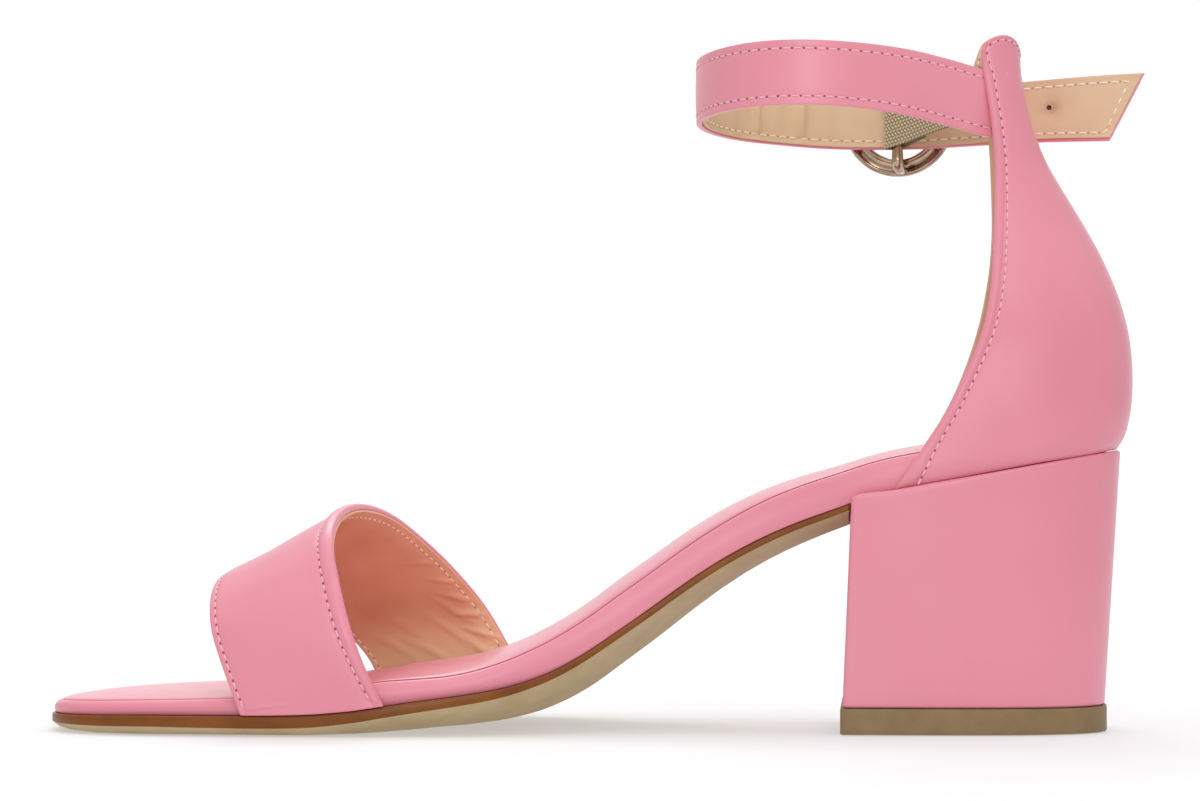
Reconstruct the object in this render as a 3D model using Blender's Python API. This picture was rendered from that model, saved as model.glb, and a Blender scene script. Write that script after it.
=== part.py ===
# Block-heeled ankle-strap sandal for the right foot, modelled at its real size.
# Stations run along the shoe in millimetres: 0 at the toe tip, growing towards the heel.
# Y is negative on the inner (medial) side and positive on the outer (lateral) side, Z is up from the floor.

import math

import bmesh
import bpy
from mathutils import Vector

MM = 0.001

# Where the station axis and the width axis meet the middle of the whole object.
STATION_MIDDLE = 119.35
WIDTH_MIDDLE = 1.18

# Driving sizes, in millimetres.
GAP = 0.3
LEATHER = 2.0
COUNTER_WALL = 2.2
BREAST_STATION = 174.6
COUNTER_START = 183.4
HEEL_END = 230.3
HEEL_HALF_WIDTH = 26.0
HEEL_FULLNESS = 3.0
LIFT_HEIGHT = 5.5
STRAP_WIDTH = 14.2
STRAP_TIP_SLANT = 6.3
ELASTIC_WIDTH = 12.0
ELASTIC_THICKNESS = 0.8
ELASTIC_CLEARANCE = 0.65
BUCKLE_STATION = 184.9
RING_OUTER_RADIUS = 12.6
RING_INNER_RADIUS = 8.8
RING_THICKNESS = 2.0
BAR_RADIUS = 1.05
PRONG_EYE_RADIUS = 2.35
PRONG_RADIUS = 0.8

# Outline of the footbed seen from above.
OUTLINE_COLUMNS = ("station", "medial", "lateral")
OUTLINE = (
    (0.0, -8.5, -1.5),
    (0.4, -13.5, 3.2),
    (1.2, -18.4, 7.8),
    (2.8, -23.4, 12.7),
    (5.5, -27.8, 17.7),
    (9.0, -31.0, 22.2),
    (15.0, -34.2, 27.8),
    (25.0, -36.8, 33.2),
    (40.0, -38.3, 37.5),
    (55.0, -39.0, 40.0),
    (70.0, -39.0, 41.3),
    (85.0, -37.5, 41.5),
    (100.0, -34.5, 40.3),
    (120.0, -29.0, 36.3),
    (140.0, -25.6, 31.5),
    (160.0, -24.6, 28.0),
    (175.0, -25.5, 26.3),
    (COUNTER_START, -HEEL_HALF_WIDTH, HEEL_HALF_WIDTH),
)

# Heights along the sole: base is the joint between footbed and outsole (or heel), edge the outsole's upright edge,
# drop how far the outsole's underside swells below that edge, margin how far the outsole stands out past the footbed.
SOLE_COLUMNS = ("station", "base", "edge", "drop", "margin", "footbed", "crown")
SOLE = (
    (0.0, 3.6, 1.9, 0.3, 0.4, 2.7, 1.2),
    (8.0, 3.8, 2.3, 1.3, 1.0, 2.9, 1.5),
    (15.0, 3.9, 2.4, 1.6, 1.5, 3.0, 1.6),
    (25.0, 4.1, 2.4, 1.8, 1.8, 3.1, 1.6),
    (45.0, 4.2, 2.6, 1.7, 2.0, 3.6, 1.7),
    (58.0, 4.4, 2.7, 1.8, 2.0, 3.7, 1.8),
    (69.0, 5.2, 2.6, 2.7, 2.0, 3.7, 2.1),
    (80.0, 6.8, 2.4, 4.0, 2.0, 3.9, 2.4),
    (90.0, 8.1, 2.2, 4.9, 1.9, 4.3, 2.7),
    (100.0, 9.7, 2.2, 5.5, 1.5, 5.3, 3.1),
    (108.0, 12.0, 2.0, 5.9, 0.8, 6.4, 3.5),
    (116.0, 15.9, 1.8, 6.0, 0.2, 7.0, 3.9),
    (124.0, 21.3, 1.7, 5.7, -0.2, 7.3, 4.2),
    (132.0, 26.9, 1.7, 5.4, -0.4, 7.4, 4.1),
    (140.0, 32.7, 1.7, 4.9, -0.5, 7.4, 3.9),
    (148.0, 37.8, 1.7, 4.2, -0.5, 7.4, 3.4),
    (156.0, 42.0, 1.7, 3.6, -0.5, 7.5, 2.8),
    (164.0, 45.4, 1.7, 3.2, -0.5, 7.4, 2.3),
    (172.0, 48.2, 1.7, 2.8, -0.5, 7.2, 1.9),
    (178.0, 50.4, 1.7, 2.8, -0.5, 7.0, 1.8),
    (183.4, 51.9, 1.7, 2.8, -0.5, 6.9, 1.8),
    (200.0, 54.9, 1.7, 2.8, -0.5, 6.6, 1.8),
    (215.0, 57.6, 1.7, 2.8, -0.5, 6.2, 1.8),
    (233.0, 60.8, 1.7, 2.8, -0.5, 6.0, 1.8),
)

# The toe band's two edges, from the inner foot over the crest to the outer foot. Its feet follow the outline.
BAND_FEET = {"medial_front": 46.0, "medial_back": 76.6, "lateral_front": 64.8, "lateral_back": 98.0}
BAND_COLUMNS = ("front_station", "front_y", "front_z", "back_station", "back_y", "back_z")
BAND = (
    (42.2, -41.3, 14.5, 72.4, -41.3, 15.0),
    (39.6, -40.4, 22.5, 69.2, -41.0, 23.8),
    (38.5, -36.2, 28.6, 66.8, -38.8, 32.0),
    (38.1, -29.0, 32.2, 64.6, -34.0, 39.2),
    (38.5, -19.0, 34.2, 63.6, -27.0, 43.9),
    (40.0, -4.0, 35.3, 63.9, -15.0, 47.6),
    (43.5, 12.0, 34.4, 66.3, 0.0, 48.9),
    (48.5, 26.0, 30.5, 71.0, 14.0, 46.6),
    (53.5, 34.8, 25.0, 77.0, 26.5, 40.6),
    (57.6, 40.8, 18.5, 83.2, 35.2, 33.4),
    (62.2, 43.1, 12.0, 90.0, 41.4, 24.0),
)

# Level sections of the heel counter's outer face, each a rounded U open to the front.
COUNTER_COLUMNS = ("z", "front", "back", "half_width", "fullness")
COUNTER = (
    (50.0, 182.6, 232.6, 28.5, 3.0),
    (60.0, 189.0, 232.9, 28.6, 3.0),
    (68.0, 194.5, 235.0, 28.7, 2.9),
    (76.0, 198.3, 235.6, 28.2, 2.8),
    (84.0, 200.9, 235.4, 27.1, 2.7),
    (92.0, 202.6, 233.9, 25.2, 2.6),
    (103.0, 203.8, 229.2, 21.6, 2.5),
    (114.0, 204.4, 222.9, 17.8, 2.5),
    (125.0, 204.5, 216.9, 14.4, 2.5),
    (136.0, 204.1, 213.3, 12.2, 2.5),
    (146.0, 203.5, 212.0, 11.5, 2.5),
    (153.0, 203.3, 211.6, 11.2, 2.5),
)
COUNTER_TOP = {"crest": 150.4, "corner_drop": 4.6, "back_dip": 2.4, "round_share": 0.3}
LATERAL_TAB = {"lead": 2.4, "rise": 1.3, "start_z": 128.0, "full_z": 146.0}

# The ankle strap's middle line, from its root inside the counter, round the front, to the free tip.
STRAP_COLUMNS = ("station", "y", "z")
STRAP = (
    (208.4, -9.2, 135.3),
    (203.6, -10.0, 135.6),
    (196.0, -14.8, 137.2),
    (185.5, -23.5, 139.0),
    (174.5, -29.3, 140.1),
    (164.0, -31.2, 140.5),
    (154.6, -28.5, 140.4),
    (147.2, -20.7, 140.0),
    (142.6, -9.2, 139.7),
    (141.4, 2.0, 139.4),
    (143.4, 13.0, 138.9),
    (149.1, 23.5, 138.4),
    (158.2, 30.2, 137.9),
    (169.0, 32.6, 137.2),
    (180.0, 32.4, 136.9),
    (191.0, 30.0, 136.8),
    (202.0, 26.0, 137.0),
    (213.0, 22.0, 137.5),
    (225.0, 18.6, 137.7),
    (235.8, 15.9, 137.6),
)

# The elastic's sewn end inside the counter and its run to the buckle bar.
ELASTIC_RUN = (
    (207.2, 5.8, 141.6),
    (205.2, 6.9, 141.4),
    (202.0, 7.7, 141.1),
    (198.8, 10.3, 140.4),
    (194.0, 16.6, 139.0),
)
ELASTIC_RETURN_LENGTH = 9.0

PINK = (0.75, 0.28, 0.36)
TAN = (0.36, 0.25, 0.13)
LIFT_TAN = (0.28, 0.19, 0.09)
WEBBING = (0.38, 0.28, 0.18)
NICKEL = (0.62, 0.52, 0.42)


def column(table, names, name):
    place = names.index(name)
    return [row[place] for row in table]


def interpolate(xs, ys, x):
    """Monotone cubic through the rows of a table, held level past its ends."""
    if x <= xs[0]:
        return ys[0]
    if x >= xs[-1]:
        return ys[-1]
    i = max(k for k in range(len(xs) - 1) if xs[k] <= x)
    step = [xs[k + 1] - xs[k] for k in range(len(xs) - 1)]
    rise = [(ys[k + 1] - ys[k]) / step[k] for k in range(len(xs) - 1)]

    def slope(k):
        if k == 0 or k == len(xs) - 1:
            return rise[min(k, len(rise) - 1)]
        if rise[k - 1] * rise[k] <= 0:
            return 0.0
        return 2 * rise[k - 1] * rise[k] / (rise[k - 1] + rise[k])

    t = (x - xs[i]) / step[i]
    start = (2 * t**3 - 3 * t**2 + 1) * ys[i] + (t**3 - 2 * t**2 + t) * step[i] * slope(i)
    end = (3 * t**2 - 2 * t**3) * ys[i + 1] + (t**3 - t**2) * step[i] * slope(i + 1)
    return start + end


def sole(name, station):
    return interpolate(
        column(SOLE, SOLE_COLUMNS, "station"), column(SOLE, SOLE_COLUMNS, name), station
    )


def superellipse(x, fullness):
    """Height of the unit superellipse at x from 0 to 1."""
    return max(0.0, 1 - min(1.0, x) ** fullness) ** (1 / fullness)


def edge(side, station):
    """Y of the footbed's edge: the outline table up to the counter, a rounded heel behind it."""
    if station <= COUNTER_START:
        stations = column(OUTLINE, OUTLINE_COLUMNS, "station")
        return interpolate(stations, column(OUTLINE, OUTLINE_COLUMNS, side), station)
    share = (station - COUNTER_START) / (HEEL_END - COUNTER_START)
    width = HEEL_HALF_WIDTH * superellipse(share, HEEL_FULLNESS)
    return width if side == "lateral" else -width


def offset_edge(side, station, distance):
    """The footbed's edge grown (or, below zero, shrunk) by a distance, at the toe and heel ends too."""
    inner = station + distance
    if station > COUNTER_START:
        length = HEEL_END - COUNTER_START
        inner = COUNTER_START + (station - COUNTER_START) * length / (length + distance)
    aside = distance * min(1.0, max(0.0, station + distance) / 8)
    if station > COUNTER_START:
        aside = distance * abs(edge(side, inner)) / HEEL_HALF_WIDTH
    return edge(side, inner) + (aside if side == "lateral" else -aside)


def counter_section(name, z):
    return interpolate(
        column(COUNTER, COUNTER_COLUMNS, "z"), column(COUNTER, COUNTER_COLUMNS, name), z
    )


def smooth_path(points, count):
    """Evenly spaced points on a Catmull-Rom curve through the given ones."""
    knots = [Vector(p) for p in points]
    knots = [2 * knots[0] - knots[1], *knots, 2 * knots[-1] - knots[-2]]
    fine = []
    for a, b, c, d in zip(knots, knots[1:], knots[2:], knots[3:]):
        for k in range(24):
            t = k / 24
            fine.append(
                0.5 * (2 * b + (c - a) * t + (2 * a - 5 * b + 4 * c - d) * t**2
                       + (3 * b - a - 3 * c + d) * t**3)
            )
    fine.append(knots[-2])
    lengths = [0.0]
    for a, b in zip(fine, fine[1:]):
        lengths.append(lengths[-1] + (b - a).length)
    path = []
    for k in range(count):
        target = lengths[-1] * k / (count - 1)
        i = max(n for n in range(len(fine) - 1) if lengths[n] <= target)
        share = (target - lengths[i]) / max(1e-9, lengths[i + 1] - lengths[i])
        path.append(fine[i].lerp(fine[i + 1], min(1.0, max(0.0, share))))
    return path


def place(station, y, z):
    """A point of the shoe in metres, in the object's own frame."""
    return Vector(((station - STATION_MIDDLE) * MM, (y - WIDTH_MIDDLE) * MM, z * MM))


def material(name, colour, roughness, metallic=0.0):
    made = bpy.data.materials.new(name)
    made.use_nodes = True
    shader = made.node_tree.nodes["Principled BSDF"]
    shader.inputs["Base Color"].default_value = (*colour, 1.0)
    shader.inputs["Roughness"].default_value = roughness
    shader.inputs["Metallic"].default_value = metallic
    return made


def add_object(name, work, finish):
    """A named object from a bmesh whose points are in millimetres (station, y, z)."""
    for vertex in work.verts:
        vertex.co = place(*vertex.co)
    mesh = bpy.data.meshes.new(name)
    work.to_mesh(mesh)
    work.free()
    mesh.materials.append(finish)
    mesh.shade_smooth()
    mesh.set_sharp_from_angle(angle=math.radians(40))
    made = bpy.data.objects.new(name, mesh)
    bpy.context.scene.collection.objects.link(made)
    return made


def loft(name, rings, finish):
    """A closed solid skinned over rings of equal length, capped at both ends."""
    work = bmesh.new()
    rows = [[work.verts.new(point) for point in ring] for ring in rings]
    count = len(rows[0])
    for near, far in zip(rows, rows[1:]):
        for k in range(count):
            following = (k + 1) % count
            work.faces.new((near[k], near[following], far[following], far[k]))
    work.faces.new(list(reversed(rows[0])))
    work.faces.new(rows[-1])
    bmesh.ops.recalc_face_normals(work, faces=work.faces)
    return add_object(name, work, finish)


def sheet(name, rows, thickness, offset, finish):
    """A wall of even thickness on a grid of points. Offset 1 thickens towards the face side, -1 away from it."""
    work = bmesh.new()
    grid = [[work.verts.new(point) for point in row] for row in rows]
    for near, far in zip(grid, grid[1:]):
        for k in range(len(near) - 1):
            work.faces.new((near[k], near[k + 1], far[k + 1], far[k]))
    made = add_object(name, work, finish)
    wall = made.modifiers.new("wall", "SOLIDIFY")
    wall.thickness = thickness * MM
    wall.offset = offset
    wall.use_even_offset = True
    return made


def tube(name, path, radius, finish, sides=8):
    """A round rod along a path."""
    rings = []
    for k, centre in enumerate(path):
        ahead = path[min(k + 1, len(path) - 1)] - path[max(k - 1, 0)]
        frame = ahead.to_track_quat("Z", "Y")
        ring = []
        for n in range(sides):
            angle = 2 * math.pi * n / sides
            spoke = Vector((math.cos(angle), math.sin(angle), 0))
            ring.append(centre + frame @ (radius * spoke))
        rings.append(ring)
    return loft(name, rings, finish)


def helper(made):
    made.hide_render = True
    made.display_type = "WIRE"
    return made


def combine(made, other, operation):
    """A Boolean that leaves the other object as a hidden helper."""
    helper(other)
    joined = made.modifiers.new(operation.lower(), "BOOLEAN")
    joined.operation = operation
    joined.object = other
    return made


def heel_stations(start, end, fullness, steps=10):
    """Stations round the back of a superellipse, close together where it turns."""
    last_angle = math.radians(87)
    angles = [last_angle * k / steps for k in range(1, steps + 1)]
    return [start + (end - start) * math.sin(a) ** (2 / fullness) for a in angles]


FOREPART_STATIONS = [
    0, 0.4, 1.2, 2.8, 5.5, 9, 15, 25, 35, 45, 55, 65, 75, 84, 92, 100, 107, 113, 119, 125, 131, 138, 146, 154, 163,
]


def outsole(finish):
    """Thin unit sole: upright edge, underside flat under the ball and swelling under the arch."""
    shares = (-0.88, -0.6, 0.0, 0.6, 0.88)
    rings = []
    tip = sole("margin", 0)
    stations = [s - tip for s in FOREPART_STATIONS[:6]] + FOREPART_STATIONS[6:] + [BREAST_STATION - 0.6]
    for station in stations:
        left = offset_edge("medial", station, sole("margin", station))
        right = offset_edge("lateral", station, sole("margin", station))
        top = sole("base", station)
        rim = top - sole("edge", station)
        bottom = max(0.0, rim - sole("drop", station))
        flat_share = interpolate([60, 110], [0.86, 0.0], station)
        ring = [(station, left, top), (station, left, rim)]
        for share in shares:
            inward = max(0.0, (abs(share) - flat_share) / (1 - flat_share))
            ring.append((station, left + (right - left) * (share + 1) / 2,
                         bottom + (rim - bottom) * inward**2.2))
        ring += [(station, right, rim), (station, right, top), (station, (left + right) / 2, top)]
        rings.append(ring)
    return loft("outsole", rings, finish)


def footbed(finish):
    """Insole board wrapped in leather: flat underside, upright rand with a rounded upper edge."""
    rings = []
    stations = [*FOREPART_STATIONS, 172, 178, COUNTER_START]
    stations += heel_stations(COUNTER_START, HEEL_END, HEEL_FULLNESS)
    for station in stations:
        left = edge("medial", station)
        right = edge("lateral", station)
        low = sole("base", station) + GAP
        high = sole("base", station) + sole("footbed", station)
        turn = min(1.8, 0.35 * (right - left))
        ring = [(station, left, low), (station, left, high - turn)]
        ring += [(station, left + 0.3 * turn, high - 0.3 * turn), (station, left + turn, high)]
        ring += [(station, (left + right) / 2, high)]
        ring += [(station, right - turn, high), (station, right - 0.3 * turn, high - 0.3 * turn)]
        ring += [(station, right, high - turn), (station, right, low)]
        ring += [(station, (left + right) / 2, low)]
        rings.append(ring)
    return loft("footbed", rings, finish)


def sock(finish):
    """Padded insole sock: a crowned cushion set just inside the rand."""
    inset = 1.7
    shares = (-1.0, -0.94, -0.8, -0.5, 0.0, 0.5, 0.8, 0.94, 1.0)
    rings = []
    stations = [s + inset for s in FOREPART_STATIONS[:6]] + FOREPART_STATIONS[6:] + [172, 178, COUNTER_START]
    stations += heel_stations(COUNTER_START, HEEL_END - inset, HEEL_FULLNESS)
    for station in stations:
        left = offset_edge("medial", station, -inset)
        right = offset_edge("lateral", station, -inset)
        low = sole("base", station) + sole("footbed", station) + GAP
        crown = max(0.5, sole("crown", station) - GAP)
        middle = (left + right) / 2
        reach = (right - left) / 2
        ring = []
        for share in shares:
            lift = 0.25 + 0.75 * superellipse(abs(share), 2.6)
            ring.append((station, middle + reach * share, low + crown * lift))
        ring += [(station, right, low), (station, middle, low), (station, left, low)]
        rings.append(ring)
    return loft("sock", rings, finish)


def heel_plan(height):
    """Breast station, back station and half width of the heel at a share of its height (0 floor, 1 seat)."""
    breast = BREAST_STATION - 2.0 * (1 - height)
    back = 229.2 + 3.6 * height
    half_width = 25.4 + 3.3 * height
    return breast, back, half_width


def heel_ring(height, share, z):
    breast, back, half_width = heel_plan(height)
    straight = (COUNTER_START - BREAST_STATION) / (HEEL_END - BREAST_STATION)
    turn = max(0.0, (share - straight) / (1 - straight))
    return breast + (back - breast) * share, half_width * superellipse(turn, HEEL_FULLNESS), z


def heel_shares():
    straight = (COUNTER_START - BREAST_STATION) / (HEEL_END - BREAST_STATION)
    return [0.0, straight, *heel_stations(straight, 1.0, HEEL_FULLNESS, 11)]


def heel_block(finish):
    """Leather-covered block: seat follows the footbed's slope, sides draw in towards the floor."""
    low = LIFT_HEIGHT + GAP
    turn = 1.2
    rings = []
    for n, share in enumerate([0.0, 0.022, *heel_shares()[1:]]):
        seat = sole("base", heel_ring(1.0, share, 0)[0]) - GAP / 2
        corner = turn if n == 0 else 0.0
        side = []
        for level, inset in ((0.0, turn), (turn / (seat - low), 0.0), (0.5, 0.0), (1 - turn / (seat - low), 0.0),
                             (1.0, turn)):
            station, half_width, z = heel_ring(level, share, low + (seat - low) * level)
            side.append((station, half_width - max(min(inset, 0.3 * half_width), corner), z))
        ring = [(x, -y, z) for x, y, z in side]
        ring += [(side[-1][0], 0, seat)]
        ring += [(x, y, z) for x, y, z in reversed(side)]
        ring += [(side[0][0], 0, low)]
        rings.append(ring)
    return loft("heel_block", rings, finish)


def top_lift(finish):
    """Moulded heel tip, a little longer than the block at the breast."""
    spread = 0.5
    rings = []
    for share in heel_shares():
        station, half_width, _ = heel_ring(0.0, share, 0)
        station += spread * (2 * share - 1)
        half_width += spread if half_width > spread else 0
        rings.append([
            (station, -half_width, 0), (station, -half_width, LIFT_HEIGHT), (station, 0, LIFT_HEIGHT),
            (station, half_width, LIFT_HEIGHT), (station, half_width, 0), (station, 0, 0),
        ])
    return loft("top_lift", rings, finish)


def band_edge(end):
    """One edge of the toe band, from foot to foot, as points on its outer face."""
    names = [end + "_station", end + "_y", end + "_z"]
    points = [tuple(row[BAND_COLUMNS.index(n)] for n in names) for row in BAND]

    feet = []
    for side in ("medial", "lateral"):
        start = Vector((BAND_FEET[side + "_" + end], 0, 0))
        feet.append(start + band_foot(side, start))
    return [feet[0], *points, feet[1]]


def band_foot(side, point):
    """Shift that brings a point of the band's lower edge beside the footbed and down onto the outsole."""
    stand = 1.6 * GAP + LEATHER
    y = edge(side, point.x) + (stand if side == "lateral" else -stand)
    return Vector((0, y - point.y, sole("base", point.x) + 2 * GAP - point.z))


def vamp_band(finish):
    """Wide toe strap arched over the ball, lasted down beside the footbed at both ends."""
    along = 30
    across = 5
    front = smooth_path(band_edge("front"), along)
    back = smooth_path(band_edge("back"), along)
    feet = {"medial": (front[0], back[0]), "lateral": (front[-1], back[-1])}
    rows = []
    for i, (a, b) in enumerate(zip(front, back)):
        side = "medial" if i < along / 2 else "lateral"
        rise = min(i, along - 1 - i) / (0.35 * along)
        row = []
        for k in range(across + 1):
            follow = band_foot(side, feet[side][0].lerp(feet[side][1], k / across))
            row.append(a.lerp(b, k / across) + follow * max(0.0, 1 - rise))
        rows.append(row)
    return sheet("vamp_band", rows, LEATHER, -1, finish)


def counter_point(angle, z):
    """Outer face of the counter at an angle round it: -90 inner front edge, 0 back, 90 outer front edge."""
    power = 2 / counter_section("fullness", z)
    front = counter_section("front", z)
    depth = counter_section("back", z) - front
    across = math.copysign(abs(math.sin(angle)) ** power, angle)
    reach = (z - LATERAL_TAB["start_z"]) / (LATERAL_TAB["full_z"] - LATERAL_TAB["start_z"])
    front -= LATERAL_TAB["lead"] * min(1.0, max(0.0, reach)) * max(0.0, math.sin(angle)) ** 2
    return Vector((front + depth * max(0.0, math.cos(angle)) ** power,
                   counter_section("half_width", z) * across, z))


def counter_foot(angle):
    z = sole("base", COUNTER_START)
    for _ in range(6):
        z = sole("base", counter_point(angle, z).x) + GAP
    return z


def counter_top(angle):
    """Topline: rounded front corners, crest on each side, shallow dip over the tendon."""
    turn = abs(angle) / (math.pi / 2)
    corner = max(0.0, (turn - 1 + COUNTER_TOP["round_share"]) / COUNTER_TOP["round_share"])
    dip = (1 - turn**2) ** 2
    crest = COUNTER_TOP["crest"] + LATERAL_TAB["rise"] * max(0.0, math.sin(angle)) ** 2
    return crest - COUNTER_TOP["corner_drop"] * corner**2 - COUNTER_TOP["back_dip"] * dip


def heel_counter(finish):
    """Closed-back counter that rises from the heel seat and narrows to the ankle."""
    around = 28
    upward = 16
    rows = []
    for i in range(around + 1):
        angle = math.pi * (i / around - 0.5)
        low = counter_foot(angle)
        high = counter_top(angle)
        rows.append([counter_point(angle, low + (high - low) * k / upward) for k in range(upward + 1)])
    return sheet("counter_and_ankle_strap", rows, COUNTER_WALL, 1, finish)


def strap_path():
    return smooth_path(STRAP, 66)


def strap_frame(path, k):
    """Direction along the strap and the level direction out of the loop, at point k of its path."""
    ahead = path[min(k + 1, len(path) - 1)] - path[max(k - 1, 0)]
    ahead.z = 0
    ahead.normalize()
    return ahead, Vector((-ahead.y, ahead.x, 0))


def ankle_strap(finish):
    """Flat strap round the ankle with a slanted tip."""
    path = strap_path()
    across = 3
    rows = []
    for k, centre in enumerate(path):
        ahead, _ = strap_frame(path, k)
        slant = STRAP_TIP_SLANT * max(0.0, (k - 60) / (len(path) - 61))
        row = []
        for n in range(across + 1):
            height = n / across - 0.5
            row.append(centre + ahead * (slant * height) + Vector((0, 0, STRAP_WIDTH * height)))
        rows.append(row)
    return sheet("ankle_strap_part", rows, LEATHER, 0, finish)


def buckle_frame_of(path):
    """Centre of the buckle on the strap, with the directions along the strap and out of the loop."""
    outer_side = [k for k, p in enumerate(path) if p.y > 0]
    k = min(outer_side, key=lambda n: abs(path[n].x - BUCKLE_STATION))
    return path[k], *strap_frame(path, k)


def bar_distance():
    """From the strap's middle to the middle of the buckle's bar, on the inner side."""
    fold = BAR_RADIUS + ELASTIC_CLEARANCE + ELASTIC_THICKNESS
    return LEATHER / 2 + GAP + max(PRONG_EYE_RADIUS, fold + 0.2)


def buckle_frame(finish):
    """Cast round ring outside the strap, with a centre bar carried on two legs behind it."""
    centre, along, out = buckle_frame_of(strap_path())
    inner_face = LEATHER / 2 + GAP
    middle = (RING_INNER_RADIUS + RING_OUTER_RADIUS) / 2
    half = (RING_OUTER_RADIUS - RING_INNER_RADIUS) / 2
    profile = [
        (-half, 0.35), (-half, 0.75), (-half * 0.55, 1.0), (half * 0.55, 1.0),
        (half, 0.75), (half, 0.35), (half * 0.6, 0.0), (-half * 0.6, 0.0),
    ]
    steps = 36
    work = bmesh.new()
    rows = []
    for n in range(steps):
        angle = 2 * math.pi * n / steps
        spoke = along * math.cos(angle) + Vector((0, 0, math.sin(angle)))
        rows.append([
            work.verts.new(centre + spoke * (middle + across) + out * (inner_face + RING_THICKNESS * deep))
            for across, deep in profile
        ])
    for n in range(steps):
        near, far = rows[n], rows[(n + 1) % steps]
        for k in range(len(profile)):
            following = (k + 1) % len(profile)
            work.faces.new((near[k], near[following], far[following], far[k]))
    bmesh.ops.recalc_face_normals(work, faces=work.faces)
    ring = add_object("buckle_frame", work, finish)

    leg = RING_INNER_RADIUS + 0.6
    bend = 1.3
    back = -bar_distance()
    front = inner_face + RING_THICKNESS / 2
    staple = [(leg, front), (leg, back + bend), (leg - 0.3 * bend, back + 0.3 * bend), (leg - bend, back)]
    route = staple + [(0, back)] + [(-up, deep) for up, deep in reversed(staple)]
    path = [centre + Vector((0, 0, up)) + out * deep for up, deep in route]
    return combine(ring, tube("buckle_bar_part", path, BAR_RADIUS, finish, 10), "UNION")


def buckle_prong(finish):
    """Pin that turns on the bar, comes out through the strap's hole and rests on the ring's front."""
    centre, along, out = buckle_frame_of(strap_path())
    eye = centre - out * bar_distance()
    hole = BAR_RADIUS + GAP
    height = 2.0
    steps = 16
    work = bmesh.new()
    rows = []
    for n in range(steps):
        angle = 2 * math.pi * n / steps
        spoke = along * math.cos(angle) + out * math.sin(angle)
        corners = [(hole, -0.5), (PRONG_EYE_RADIUS, -0.5), (PRONG_EYE_RADIUS, 0.5), (hole, 0.5)]
        rows.append([work.verts.new(eye + spoke * r + Vector((0, 0, height * up))) for r, up in corners])
    for n in range(steps):
        near, far = rows[n], rows[(n + 1) % steps]
        for k in range(4):
            work.faces.new((near[k], near[(k + 1) % 4], far[(k + 1) % 4], far[k]))
    bmesh.ops.recalc_face_normals(work, faces=work.faces)
    made = add_object("buckle_prong", work, finish)
    route = prong_route(eye, along, out)
    return combine(made, tube("prong_rod_part", route, PRONG_RADIUS, finish), "UNION")


def prong_route(eye, along, out):
    """From the eye's front, out through the strap, to the tip on the ring."""
    rest = bar_distance() + LEATHER / 2 + GAP + RING_THICKNESS + GAP + PRONG_RADIUS
    steps = ((-1.8, 0.4), (-3.2, 1.8), (-5.2, 5.0), (-7.6, rest - 0.2), (-10.0, rest), (-12.6, rest))
    return [eye + along * back + out * deep for back, deep in steps]


def prong_hole(finish):
    """Cutter for the slot in the strap where the prong passes through."""
    centre, along, out = buckle_frame_of(strap_path())
    eye = centre - out * bar_distance()
    middle = eye - along * 4.6 + out * bar_distance()
    half_length, half_height, reach = 2.6, 1.3, 2.4
    ring = []
    for n in range(12):
        angle = 2 * math.pi * n / 12
        ring.append(middle + along * (half_length * math.cos(angle))
                    + Vector((0, 0, half_height * math.sin(angle))))
    return loft("prong_hole_cutter", [[p - out * reach for p in ring], [p + out * reach for p in ring]], finish)


def elastic_tab(finish):
    """Elastic webbing sewn inside the counter, folded round the buckle bar and back on itself."""
    centre, along, out = buckle_frame_of(strap_path())
    bar = centre - out * bar_distance()
    radius = BAR_RADIUS + ELASTIC_CLEARANCE + ELASTIC_THICKNESS / 2
    spread = ELASTIC_THICKNESS / 2 + 0.2
    run = [Vector(p) for p in ELASTIC_RUN]
    towards = bar - run[-1]
    towards.z = 0
    length = towards.length
    towards.normalize()
    side = Vector((-towards.y, towards.x, 0))
    if side.dot(out) < 0:
        side = -side
    route = run + [run[-1] + towards * (length - 4.5) + side * (0.4 * spread)]
    turn_start = math.radians(75)
    for n in range(9):
        angle = turn_start - 2 * turn_start * n / 8
        route.append(bar + towards * (radius * math.cos(angle)) + side * (radius * math.sin(angle)))
    route.append(bar - towards * 4.5 - side * (0.6 * spread + 0.75))
    route.append(bar - towards * ELASTIC_RETURN_LENGTH - side * (2 * spread + 0.35))
    rise = run[-1].z - bar.z
    for point in route[len(run):]:
        point.z = bar.z + rise * max(0.0, (bar - point).dot(towards)) / length
    path = smooth_path(route, 52)
    rows = []
    for point in path:
        rows.append([point + Vector((0, 0, ELASTIC_WIDTH * (n / 2 - 0.5))) for n in range(3)])
    return combine(sheet("elastic_tab", rows, ELASTIC_THICKNESS, 0, finish), elastic_slot(bar, towards, finish),
                   "DIFFERENCE")


def elastic_slot(bar, towards, finish):
    """Cutter for the slot in the elastic's fold that lets the prong's eye onto the bar."""
    side = Vector((-towards.y, towards.x, 0))
    half_height = 1.35
    ring = [bar + towards * a + side * b for a, b in ((-3.0, -4.0), (4.0, -4.0), (4.0, 4.0), (-3.0, 4.0))]
    lift = Vector((0, 0, half_height))
    return loft("elastic_slot_cutter", [[p - lift for p in ring], [p + lift for p in ring]], finish)


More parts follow.
